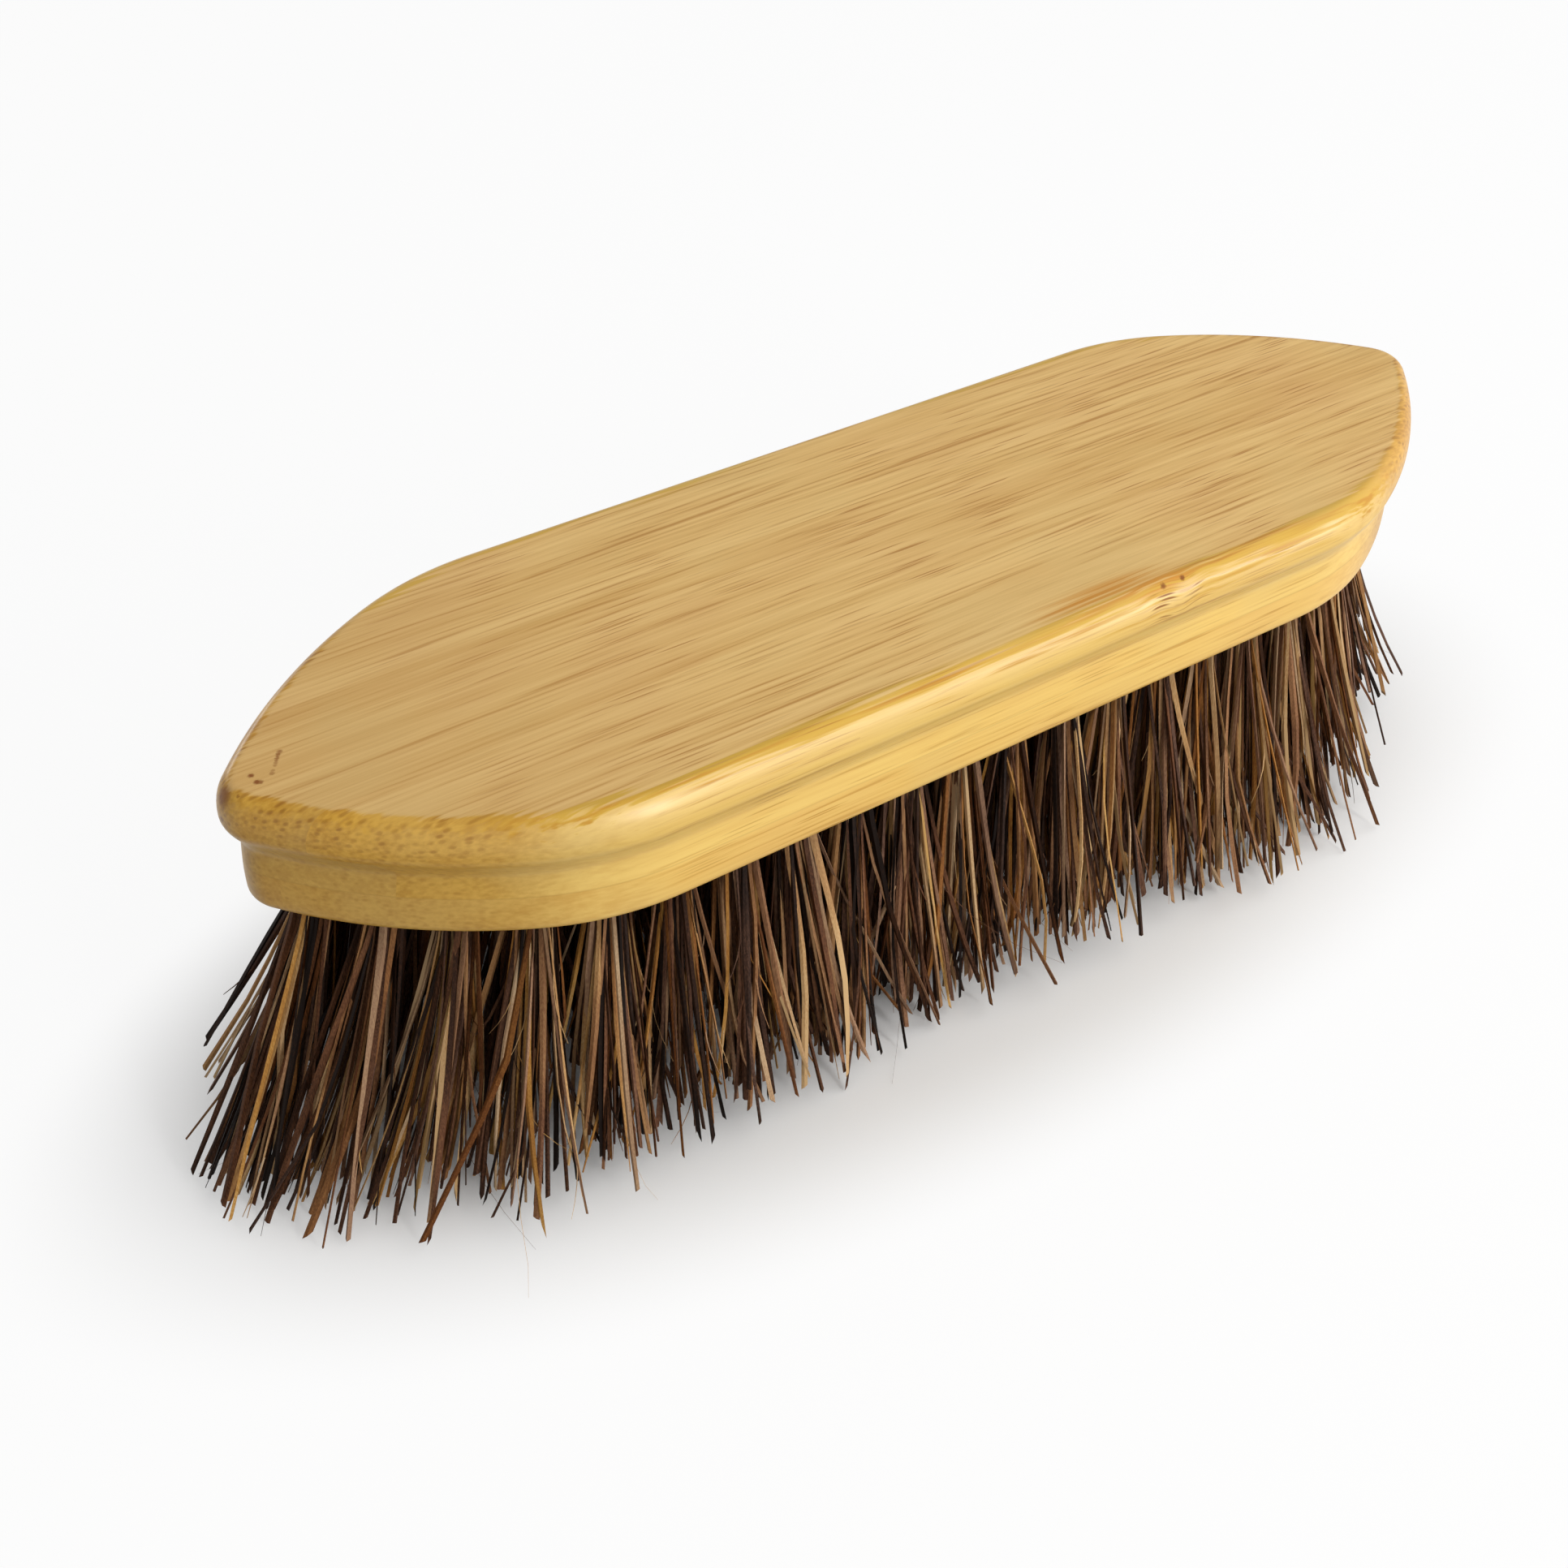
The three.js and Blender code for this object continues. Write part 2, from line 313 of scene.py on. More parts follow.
# %% [markdown]
# ## Nine strips of bamboo
#
# The real block is a board of bamboo strips, glued edge to edge and in three layers, and cut to shape
# afterwards. The mesh is made nearly so: the whole block is lofted, each strip is what lies between its
# glue planes, and the holes are drilled last, with a boolean. Each strip stays a piece of its own,
# because every strip comes from another length of cane and takes its own tone. Only edges that are really
# sharp are marked sharp, so the moulding shades as one smooth surface.

# %% Cut and drill the strips
SHARP_ANGLE = math.radians(35)
CUT_TOLERANCE = 1e-4
HOLE_SIDES = 20
DRILL_START = 1.0


def glue_planes(ply, strip_name):
    """A point on each glue joint of a strip, and the way out of the strip there."""
    low, high = node_box(f"{ply}_middle_strip")
    planes = []
    if strip_name != "far_strip":
        planes.append((low if strip_name == "near_strip" else high, Vector((0, 1, 0))))
    if strip_name != "near_strip":
        planes.append((high if strip_name == "far_strip" else low, Vector((0, -1, 0))))
    if ply != "back_ply":
        planes.append((high, Vector((0, 0, 1))))
    if ply != "face_ply":
        planes.append((low, Vector((0, 0, -1))))
    return planes


def cut_strip(planes):
    """The part of the block inside the planes, closed where it is glued."""
    strip = block.copy()
    for point, way_out in planes:
        every = strip.verts[:] + strip.edges[:] + strip.faces[:]
        plane = {"plane_co": point, "plane_no": way_out, "clear_outer": True}
        bmesh.ops.bisect_plane(strip, geom=every, dist=CUT_TOLERANCE, **plane)
        bmesh.ops.holes_fill(strip, edges=[edge for edge in strip.edges if edge.is_boundary], sides=0)
    return strip


def mesh_from(name, solid):
    """A mesh from a solid, which is used up."""
    mesh = bpy.data.meshes.new(name)
    solid.to_mesh(mesh)
    solid.free()
    return mesh


def drill_set():
    """One cylinder for each hole, as a single cutter."""
    solid = bmesh.new()
    length = hole_depth + DRILL_START
    size = {"radius1": hole_diameter / 2, "radius2": hole_diameter / 2, "depth": length}
    for x, y in all_places:
        place = Matrix.Translation((x, y, block_face + hole_depth - length / 2))
        bmesh.ops.create_cone(solid, cap_ends=True, segments=HOLE_SIDES, matrix=place, **size)
    return linked("drills", mesh_from("drills", solid))


def drilled(strip, drills):
    """The strip with every hole that reaches into it."""
    blank = linked("blank", mesh_from("blank", strip))
    cut = blank.modifiers.new("holes", "BOOLEAN")
    cut.operation = "DIFFERENCE"
    cut.solver = "EXACT"
    cut.object = drills
    solid = bmesh.new()
    solid.from_object(blank, bpy.context.evaluated_depsgraph_get())
    bpy.data.objects.remove(blank)
    return solid


def finished_mesh(name, solid):
    """A mesh in metres from a solid in millimetres, smooth but for its sharp edges."""
    for face in solid.faces:
        face.smooth = True
    for edge in solid.edges:
        edge.smooth = len(edge.link_faces) == 2 and edge.calc_face_angle() < SHARP_ANGLE
    mesh = mesh_from(name, solid)
    mesh.transform(Matrix.Scale(MM, 4))
    return mesh


drills = drill_set()
strip_meshes = {}
for ply in PLIES:
    for strip_name in STRIPS:
        solid = cut_strip(glue_planes(ply, strip_name))
        if ply != "back_ply":
            solid = drilled(solid, drills)
        strip_meshes[ply, strip_name] = finished_mesh(f"{ply}_{strip_name}", solid)
bpy.data.objects.remove(drills)
block.free()
print({" ".join(key): len(mesh.polygons) for key, mesh in strip_meshes.items()})

# %% [markdown]
# ## Lacquered bamboo: how the cane was cut
#
# Bamboo is a grass. Its cane has no rings, only straight bundles of dark fibre in a paler ground. They
# show as streaks where a surface runs with the grain, and as dots where it cuts across. A picture of wood
# couldn't follow a moulding like that, so the material works out for itself where a place lies: how far
# inside the block's outline, how squarely the outline cuts the grain there, and where on the cane. The
# fibres wander by up to half a millimetre, and they swerve beside a knuckle, where a leaf once stood. The
# way across the grain is measured as depth plus height, because that sum runs on without a break from the
# flat back, over the edge and down the near side.

# %% Find the cut and the grain
WANDER_LENGTH, WANDER_WIDTH, WANDER = 55.0, 14.0, 1.0
KNUCKLE, KNUCKLE_REACH = (25.5, -30.2, 62.6), (5.0, 2.2, 2.4)
SWERVE_LENGTH, SWERVE, SWERVE_FADE = 6.0, 1.4, (2.6, 0.6)
SHOULDER_BLEND = 6.6
NOISE_MIDDLE = 0.5


def rim_of(tree, place):
    """How far inside the outline a place lies, and how squarely the outline cuts the grain there."""
    mirrored = add(tree, "VectorMath", [place], operation="ABSOLUTE")
    sideways = add(tree, "SeparateXYZ", [mirrored], "Y")
    from_side = add(tree, "Math", [half_width * MM, sideways], **MINUS)
    level = add(tree, "VectorMath", [mirrored, (1, 1, 0)], **TIMES)
    spoke = add(tree, "VectorMath", [level, Vector((end_x, end_y, 0)) * MM], **MINUS)
    spoke = add(tree, "VectorMath", [spoke, (0, 0, 0)], **LARGER)
    off_centre = add(tree, "VectorMath", [spoke], "Value", operation="LENGTH")
    from_end = add(tree, "Math", [end_radius * MM, off_centre], **MINUS)
    rim = add(tree, "Math", [from_side, from_end, SHOULDER_BLEND * MM], operation="SMOOTH_MIN")
    outwards = add(tree, "VectorMath", [spoke], operation="NORMALIZE")
    return rim, add(tree, "SeparateXYZ", [outwards], "X")


def distance_from(tree, place, spot, reach):
    """How far a place is from a spot, in units of the spot's reach along each axis."""
    apart = add(tree, "VectorMath", [place, Vector(spot) * MM], **MINUS)
    scaled = add(tree, "VectorMath", [apart, per_mm(*reach)], **TIMES)
    return add(tree, "VectorMath", [scaled], "Value", operation="LENGTH")


def grain_of(tree, place, off_knuckle):
    """Where the fibres at a place grew. They wander, and they swerve beside the knuckle."""
    seed = add(tree, "Attribute", out="Vector", attribute_name="strip_seed")
    own = add(tree, "VectorMath", [place, seed], **PLUS)
    scaled = add(tree, "VectorMath", [own, per_mm(WANDER_LENGTH, WANDER_WIDTH, WANDER_WIDTH)], **TIMES)
    drift = add(tree, "TexNoise", {"Vector": scaled, "Scale": 1.0, "Detail": 1.0}, "Color")
    drift = add(tree, "VectorMath", [drift, [NOISE_MIDDLE] * 3], **MINUS)
    grown = add(tree, "VectorMath", [drift, (0, WANDER * MM, WANDER * MM), own], **TIMES_PLUS)

    swerving = add(tree, "MapRange", [off_knuckle, *SWERVE_FADE, 0.0, SWERVE * MM], **SMOOTH)
    swerve = add(tree, "TexNoise", {"Vector": place, "Scale": per_mm(SWERVE_LENGTH)[0], "Detail": 0.0})
    swerve = add(tree, "Math", [swerve, NOISE_MIDDLE], **MINUS)
    swerve = add(tree, "Math", [swerve, swerving], **TIMES)
    swerve = add(tree, "CombineXYZ", [0.0, swerve, swerve])
    return add(tree, "VectorMath", [grown, swerve], **PLUS)


def unrolled(tree, grown):
    """The place on a sheet that runs with the grain, over the edge and down, and on a section across it."""
    lengthwise = add(tree, "SeparateXYZ", [grown], "X")
    parts = lengthwise.node.outputs
    crosswise = add(tree, "Math", [parts["Y"], parts["Z"]], **PLUS)
    sheet = add(tree, "CombineXYZ", [lengthwise, crosswise, 0.0])
    section = add(tree, "CombineXYZ", [parts["Y"], parts["Z"], 0.0])
    return sheet, section


print("grain: wander", WANDER, "mm, knuckle at", KNUCKLE)

# %% [markdown]
# ## Lacquered bamboo: the zones of the board
#
# The board was planed, moulded and sprayed with clear lacquer, and then its back was rubbed down to a
# satin. So there is a rubbed zone and a moulded one. Along the border between them, where the cutter bit
# in, runs a line of deep lacquer the colour of honey, which widens to the right. Masks could be painted
# by hand, but they would have to be painted again after every change of shape. So the zones are worked
# out from the distance to the outline and from the height, and noise that is stretched along the grain
# frays their borders. One survey finds all that, and every later step reads it.

# %% Find the zones
# Noise that is stretched along the grain: length, width and detail.
BANDS, FIBRES, SLIVERS = (170.0, 4.5, 3.0), (26.0, 0.55, 4.0), (24.0, 0.9, 2.0)
CLOUD_SIZE = 24.0
# How squarely the outline cuts the grain where end grain begins and is full.
END_GRAIN = (0.34, 0.56)
# Distances from the outline at which the honey, and then the rubbed back, begin and are full.
HONEY_BAND, HONEY_SPREAD, END_SPREAD = (0.7, 1.7, 2.4, 3.4), 4.2, 1.8
HONEY_WIDENING = (-15.0, 40.0, 0.0, 1.0)
ROLLED_DROP = 3.0


class Place:
    """What is known about a place on the board. The survey fills it in."""


def survey(tree):
    """Where a place lies, how far it belongs to each zone, and the noise there."""
    at = Place()
    at.place = add(tree, "TexCoord", out="Object")
    at.along = add(tree, "SeparateXYZ", [at.place], "X")
    at.height = at.along.node.outputs["Z"]
    rim, at.squarely = rim_of(tree, at.place)
    at.across = add(tree, "MapRange", [at.squarely, *END_GRAIN], **SMOOTH)
    at.off_knuckle = distance_from(tree, at.place, KNUCKLE, KNUCKLE_REACH)
    grown = grain_of(tree, at.place, at.off_knuckle)
    at.sheet, at.section = unrolled(tree, grown)
    layers = []
    for length, width, detail in (BANDS, FIBRES, SLIVERS):
        scaled = add(tree, "VectorMath", [grown, per_mm(length, width, width)], **TIMES)
        layers.append(add(tree, "TexNoise", {"Vector": scaled, "Scale": 1.0, "Detail": detail}))
    at.bands, at.fibres, at.slivers = layers
    at.clouds = add(tree, "TexNoise", {"Vector": grown, "Scale": per_mm(CLOUD_SIZE)[0], "Detail": 2.0})

    spread = add(tree, "MapRange", [at.across, 0.0, 1.0, HONEY_SPREAD * MM, END_SPREAD * MM])
    for wandering in (at.slivers, at.fibres):
        shift = add(tree, "Math", [wandering, NOISE_MIDDLE], **MINUS)
        rim = add(tree, "Math", [shift, spread, rim], **TIMES_PLUS)
    honey_start, honey_full, rubbed_start, rubbed_full = (limit * MM for limit in HONEY_BAND)
    roll = [(block_back - drop) * MM for drop in (back_edge_drop, ROLLED_DROP)]
    at.rolled = add(tree, "MapRange", [at.height, *roll], **SMOOTH)
    rubbed = add(tree, "MapRange", [rim, rubbed_start, rubbed_full], **SMOOTH)
    at.rubbed = add(tree, "Math", [rubbed, at.rolled], **TIMES)
    wider = add(tree, "MapRange", [at.along, *(limit * MM for limit in HONEY_WIDENING)], **SMOOTH)
    honey = add(tree, "Math", [rim, wider], **PLUS)
    honey = add(tree, "MapRange", [honey, honey_start, honey_full], **SMOOTH)
    at.honey = add(tree, "Math", [honey, at.rolled], **TIMES)
    at.moulded = add(tree, "Math", [1.0, at.rubbed], **MINUS)
    at.end_grain = add(tree, "Math", [at.across, at.moulded], **TIMES)
    return at


print("zones: honey and rubbed back at", HONEY_BAND, "mm inside the outline")

# %% [markdown]
# ## Lacquered bamboo: dark fibre and marks
#
# The bundles are drawn with cells, one bundle in each. Along the grain it is a streak, about a centimetre
# long and a third of a millimetre wide, and the streaks come in clusters. Across the grain it is a soft
# speck, less than a millimetre wide. Bundles crowd under the skin of the cane, and the maker turned the
# skin to the back, so the specks crowd along the top of each end. Fine fibre from stretched noise fills
# in between. At the knuckle there are short dashes. Knots, specks and one stained tip are single marks,
# each with a place, a radius and a strength, and noise tears their rims. A row of small marks makes a
# scratch.
#
# For each kind of bundle, a rim says at which distances from a cell's middle the bundle begins and is
# full, and a pick says which cells have one: a range of chance, and the strengths at its two ends.

# %% Draw the dark fibre and the marks
STREAK_CELL, STREAK_RIM, STREAK_PICK = (20.0, 0.65), (0.27, 0.08), (0.2, 0.9, 0.05, 1.0)
SPECK_CELL, SPECK_RIM, SPECK_PICK = (0.95, 0.95), (0.4, 0.1), (0.1, 0.9, 0.2, 1.0)
DASH_CELL, DASH_RIM, DASH_PICK = (8.0, 0.9), (0.28, 0.1), (0.1, 0.6, 0.0, 1.0)
STREAK_CLUSTERS = (0.4, 0.58, 0.25, 1.0)
FINE_FIBRE = (0.44, 0.3, 0.0, 0.7)
SKIN_DEPTHS, SKIN_CROWD = (6.0, 1.5), (0.4, 1.0)
DASH_FADE = (1.35, 0.8, 0.0, 0.9)
# How squarely the outline cuts the grain where streaks begin and are full.
LONG_GRAIN = (0.34, 0.2)
# The left end of the back: where it is mixed a little darker, and how much calmer its streaks are there.
LEFT_END_SPAN, LEFT_END_STREAKS = (-85.0 * MM, -30.0 * MM), 0.5
MARK_RAGGEDNESS, MARK_CORE = 0.4, 0.3
MARKS = [
    ((23.9, -29.4, 64.7), 0.65, 0.9),
    ((27.5, -29.4, 64.7), 0.6, 0.95),
    ((-93.0, 2.8, 65.2), 0.5, 0.7),
    ((-93.3, 2.45, 65.2), 0.45, 0.75),
    ((-93.55, 2.1, 65.2), 0.4, 0.75),
    ((-93.75, 1.75, 65.2), 0.4, 0.7),
    ((-93.95, 1.4, 65.2), 0.4, 0.65),
    ((-94.2, 1.05, 65.2), 0.4, 0.5),
    ((-94.45, 0.65, 65.2), 0.4, 0.45),
    ((-95.0, -0.1, 65.2), 0.4, 0.4),
    ((-95.3, -0.55, 65.2), 0.45, 0.5),
    ((-97.6, 0.4, 65.2), 0.55, 0.95),
    ((-97.4, -1.1, 65.2), 0.6, 0.95),
    ((-97.1, -1.3, 65.2), 0.55, 0.8),
    ((-100.2, -2.0, 64.9), 0.35, 0.6),
    ((-101.5, 0.0, 64.0), 1.9, 0.8),
    ((-102.4, -0.5, 61.1), 0.6, 0.85),
]


def bundles(tree, flat_place, cell, rim, pick, pick_settings=SMOOTH):
    """How strongly a bundle of fibre shows at a place on a sheet or a section."""
    scaled = add(tree, "VectorMath", [flat_place, per_mm(*cell, 1)], **TIMES)
    away = add(tree, "TexVoronoi", {"Vector": scaled, "Scale": 1.0}, "Distance", voronoi_dimensions="2D")
    chance = add(tree, "SeparateColor", [away.node.outputs["Color"]])
    shape = add(tree, "MapRange", [away, *rim], **SMOOTH)
    chosen = add(tree, "MapRange", [chance, *pick], **pick_settings)
    return add(tree, "Math", [shape, chosen], **TIMES)


def dark_fibre(tree, at):
    """How much dark fibre shows: streaks and fine lines along the grain, specks across it."""
    streak = bundles(tree, at.sheet, STREAK_CELL, STREAK_RIM, STREAK_PICK)
    gathered = add(tree, "MapRange", [at.clouds, *STREAK_CLUSTERS], **SMOOTH)
    streak = add(tree, "Math", [streak, gathered], **TIMES)
    fine = add(tree, "MapRange", [at.fibres, *FINE_FIBRE], **SMOOTH)
    lines = add(tree, "Math", [streak, fine], **LARGER)
    with_grain = add(tree, "MapRange", [at.squarely, *LONG_GRAIN], **SMOOTH)
    with_grain = add(tree, "Math", [with_grain, at.rubbed], **LARGER)
    calm = add(tree, "MapRange", [at.along, *LEFT_END_SPAN, LEFT_END_STREAKS, 1.0], **SMOOTH)
    with_grain = add(tree, "Math", [with_grain, calm], **TIMES)
    lines = add(tree, "Math", [lines, with_grain], **TIMES)

    speck = bundles(tree, at.section, SPECK_CELL, SPECK_RIM, SPECK_PICK, pick_settings={})
    skin = [(block_back - depth) * MM for depth in SKIN_DEPTHS]
    crowded = add(tree, "MapRange", [at.height, *skin, *SKIN_CROWD], **SMOOTH)
    crowded = add(tree, "Math", [crowded, at.end_grain], **TIMES)
    specks = add(tree, "Math", [speck, crowded], **TIMES)
    return add(tree, "Mix", {0: at.end_grain, 2: lines, 3: specks})


def stains(tree, at):
    """How strongly a natural mark stains a place: dashes at the knuckle, knots and specks."""
    dash = bundles(tree, at.sheet, DASH_CELL, DASH_RIM, DASH_PICK)
    near = add(tree, "MapRange", [at.off_knuckle, *DASH_FADE], **SMOOTH)
    stain = add(tree, "Math", [dash, near], **TIMES)

    torn = {"Vector": at.place, "Scale": per_mm(MARK_RAGGEDNESS)[0], "Detail": 2.0}
    torn = add(tree, "TexNoise", torn, "Color")
    torn = add(tree, "VectorMath", [torn, [NOISE_MIDDLE] * 3], **MINUS)
    ragged = add(tree, "VectorMath", [torn, [MARK_RAGGEDNESS * MM] * 3, at.place], **TIMES_PLUS)
    for centre, radius, strength in MARKS:
        off_mark = add(tree, "VectorMath", [ragged, Vector(centre) * MM], "Value", operation="DISTANCE")
        limits = [radius * MM, radius * MM * MARK_CORE]
        mark = add(tree, "MapRange", [off_mark, *limits, 0.0, strength], **SMOOTH)
        stain = add(tree, "Math", [stain, mark], **LARGER)
    return stain


print(f"{len(MARKS)} marks, streaks {STREAK_CELL[1]} mm and specks {SPECK_CELL[1]} mm apart")

# %% [markdown]
# ## Lacquered bamboo: ground and coats
#
# The satin back is tan with low contrast, and the moulded edge is golden. The honey lies in slivers that
# fray along the grain, and end grain drinks more lacquer and turns ochre. One long ramp couldn't hold all
# that, so the ground is mixed zone by zone, and thin coats go over it, as a finisher would glaze a board.
# Each coat has a share, which says where it lies, and a tone. A pale line along the crease above the end
# grain is a painted highlight. Soft clouds pale and warm the whole board. The left end of the back is a
# little darker. Then come the dark fibre, warm patches beside the knuckle, and the marks. Last comes the
# glue: a soft line in the cove, which is also painted shade under the bullnose, and only a hairline at the
# joint below it.

# %% Mix the ground and list the coats
FIBRE_SHARE, TONE_SHIFT, TONE_RANGE = 0.6, 0.05, (0.3, 0.7)
BACK_TONES, HONEY_TONES = ("#d8ab63", "#efc882"), ("#d2a63b", "#c58b22")
HONEY_DEPTH, HONEY_SHARE, END_HONEY_SHARE = (0.5, 0.7), 0.95, 0.5
OCHRE_SHARE, DARK_SHARE, LEFT_END_SHARE, CLOUD_SHARE = 0.9, 0.7, 0.17, 0.16
CLOUDS = (("#d9bf7e", 0.5, 0.3), ("#d39c66", 0.45, 0.75))
WARM_SPOTS = [
    ((23.0, -28.9, 65.0), (7.5, 1.6, 1.8), 0.9),
    ((15.0, -26.6, 65.2), (13.0, 2.6, 2.0), 0.75),
]
WARM_FRAY, WARM_FADE = (0.6, 0.42, 0.15, 1.0), (1.3, 0.3)
# The crease tone is a painted highlight. The glue tone is glue, and in the cove it is also painted shade.
CREASE_HIGHLIGHT_TONE, SPECK_TONE, GLUE_AND_SHADE_TONE = "#e6c68c", "#976013", "#a67c38"
WARM_TONE, LEFT_END_TONE, MARK_TONE = "#cf8a2a", "#a97742", "#844605"


def ground_colour(tree, at, edge_tones, end_tones):
    """Tan on the rubbed back, gold on the edge, honey along the border, and ochre on end grain."""
    ground = add(tree, "Mix", {0: FIBRE_SHARE, 2: at.bands, 3: at.fibres})
    tone = add(tree, "Attribute", out="Fac", attribute_name="strip_tone")
    toned = add(tree, "Math", [tone, TONE_SHIFT, ground], **TIMES_PLUS)
    light = add(tree, "MapRange", [toned, *TONE_RANGE], **SMOOTH)
    deep = add(tree, "MapRange", [at.slivers, *HONEY_DEPTH], **SMOOTH)
    mixes = ((light, BACK_TONES), (light, edge_tones), (light, end_tones), (deep, HONEY_TONES))
    tan, gold, ochre, honey = (
        add(tree, "Mix", {0: share, 6: linear(tones[0]), 7: linear(tones[1])}, **COLOURS)
        for share, tones in mixes
    )
    most_honey = add(tree, "MapRange", [at.across, 0.0, 1.0, HONEY_SHARE, END_HONEY_SHARE])
    honeyed = add(tree, "Math", [at.honey, most_honey], **TIMES)
    ended = add(tree, "Math", [at.across, OCHRE_SHARE], **TIMES)
    colour = gold
    for share, zone in ((honeyed, honey), (ended, ochre), (at.rubbed, tan)):
        colour = add(tree, "Mix", {0: share, 6: colour, 7: zone}, **COLOURS)
    return colour


def coats_over(tree, at, dark, stain, streak_tone, glue_and_shade_lines):
    """Shares and tones of what lies over the ground, from the lowest coat to the uppermost."""
    # A painted highlight: a pale line along the crease above the end grain.
    crease_highlight = add(tree, "Math", [at.end_grain, at.rubbed], **TIMES)
    coats = [(crease_highlight, linear(CREASE_HIGHLIGHT_TONE))]
    for cloud_tone, start, full in CLOUDS:
        share = add(tree, "MapRange", [at.clouds, start, full, 0.0, CLOUD_SHARE], **SMOOTH)
        coats.append((share, linear(cloud_tone)))
    # The left end of the back is mixed a little darker.
    darker_left = add(tree, "MapRange", [at.along, *LEFT_END_SPAN, LEFT_END_SHARE, 0.0], **SMOOTH)
    darker_left = add(tree, "Math", [darker_left, at.rubbed], **TIMES)
    coats.append((darker_left, linear(LEFT_END_TONE)))
    share = add(tree, "Math", [dark, DARK_SHARE], **TIMES)
    browns = {0: at.end_grain, 6: linear(streak_tone), 7: linear(SPECK_TONE)}
    coats.append((share, add(tree, "Mix", browns, **COLOURS)))
    frayed = add(tree, "MapRange", [at.fibres, *WARM_FRAY], **SMOOTH)
    for spot, reach, strength in WARM_SPOTS:
        off_warm = distance_from(tree, at.place, spot, reach)
        near = add(tree, "MapRange", [off_warm, *WARM_FADE, 0.0, strength], **SMOOTH)
        share = add(tree, "Math", [near, frayed], **TIMES)
        coats.append((share, linear(WARM_TONE)))
    coats.append((stain, linear(MARK_TONE)))
    # Glue lines are dark joints. The wide one in the cove is also painted shade under the bullnose.
    for joint, width, strength in glue_and_shade_lines:
        glue = add(tree, "Math", [at.height, joint * MM], **MINUS)
        glue = add(tree, "Math", [glue], operation="ABSOLUTE")
        share = add(tree, "MapRange", [glue, width * MM, 0.0, 0.0, strength], **SMOOTH)
        coats.append((share, linear(GLUE_AND_SHADE_TONE)))
    return coats


print(f"{len(CLOUDS)} clouds and {len(WARM_SPOTS)} warm spots among the coats")

# %% [markdown]
# ## Lacquered bamboo: gloss
#
# Satin lacquer reflects the white room weakly. On the bullnose, below the honey, the lacquer is glossy
# and reflects the room almost fully. The ends reflect less, and marks are as dull as the back. All of it
# reflects as a warm cream. A clear coat over everything would shine everywhere alike, so the specular
# level changes from place to place instead, and has a tint. The three plies share one recipe and differ
# in their tones.

# %% Make the bamboo materials
GRAIN_RELIEF, GRAIN_STRENGTH, FIBRE_RELIEF = 0.03, 0.3, 0.6
GLOSS_ROUGHNESS, SATIN_ROUGHNESS = 0.35, 0.5
SATIN_LACQUER, END_LACQUER, GLOSS_LACQUER, HONEY_GLOSS = 0.25, 0.55, 0.9, 0.1
LACQUER_TINT = "#fffbf0"


def lacquer_level(tree, at, stain):
    """How strongly the lacquer reflects at a place."""
    glossy = add(tree, "Math", [at.moulded, at.rolled], **TIMES)
    below_honey = add(tree, "MapRange", [at.honey, 0.0, 1.0, 1.0, HONEY_GLOSS])
    unmarked = add(tree, "Math", [1.0, stain], **MINUS)
    for limit in (below_honey, unmarked):
        glossy = add(tree, "Math", [glossy, limit], **TIMES)
    gloss = add(tree, "MapRange", [at.across, 0.0, 1.0, GLOSS_LACQUER, END_LACQUER])
    return add(tree, "MapRange", [glossy, 0.0, 1.0, SATIN_LACQUER, gloss])


def bamboo(name, edge_tones, end_tones, streak_tone, glue_and_shade_lines):
    """Bamboo under lacquer. Tones are dark and light. A glue line has a height, a width and a strength."""
    material, tree = new_material(name)
    at = survey(tree)
    dark = dark_fibre(tree, at)
    stain = stains(tree, at)
    colour = ground_colour(tree, at, edge_tones, end_tones)
    for share, coat in coats_over(tree, at, dark, stain, streak_tone, glue_and_shade_lines):
        colour = add(tree, "Mix", {0: share, 6: colour, 7: coat}, **COLOURS)

    # Dark fibre lies a little deeper than the ground, and the moulded edge is smoother than the back.
    relief = add(tree, "Math", [at.fibres, FIBRE_RELIEF, dark], **TIMES_PLUS)
    relief = {"Height": relief, "Distance": GRAIN_RELIEF * MM, "Strength": GRAIN_STRENGTH}
    bump = add(tree, "Bump", relief, invert=True)
    rough = add(tree, "MapRange", [at.rubbed, 0.0, 1.0, GLOSS_ROUGHNESS, SATIN_ROUGHNESS])
    lacquer = lacquer_level(tree, at, stain)
    sheen = {"Roughness": rough, "Specular IOR Level": lacquer, "Specular Tint": linear(LACQUER_TINT)}
    surface = add(tree, "BsdfPrincipled", {"Base Color": colour, "Normal": bump, **sheen})
    add(tree, "OutputMaterial", {"Surface": surface})
    return material


core_low = node_box("core_ply_middle_strip")[0].z
back_low = node_box("back_ply_middle_strip")[0].z
# The wide line in the cove is partly glue and partly painted shade under the bullnose.
COVE_GLUE_AND_SHADE = (back_low, 0.8, 0.06)
FINE_GLUE = (core_low, 0.22, 0.22)
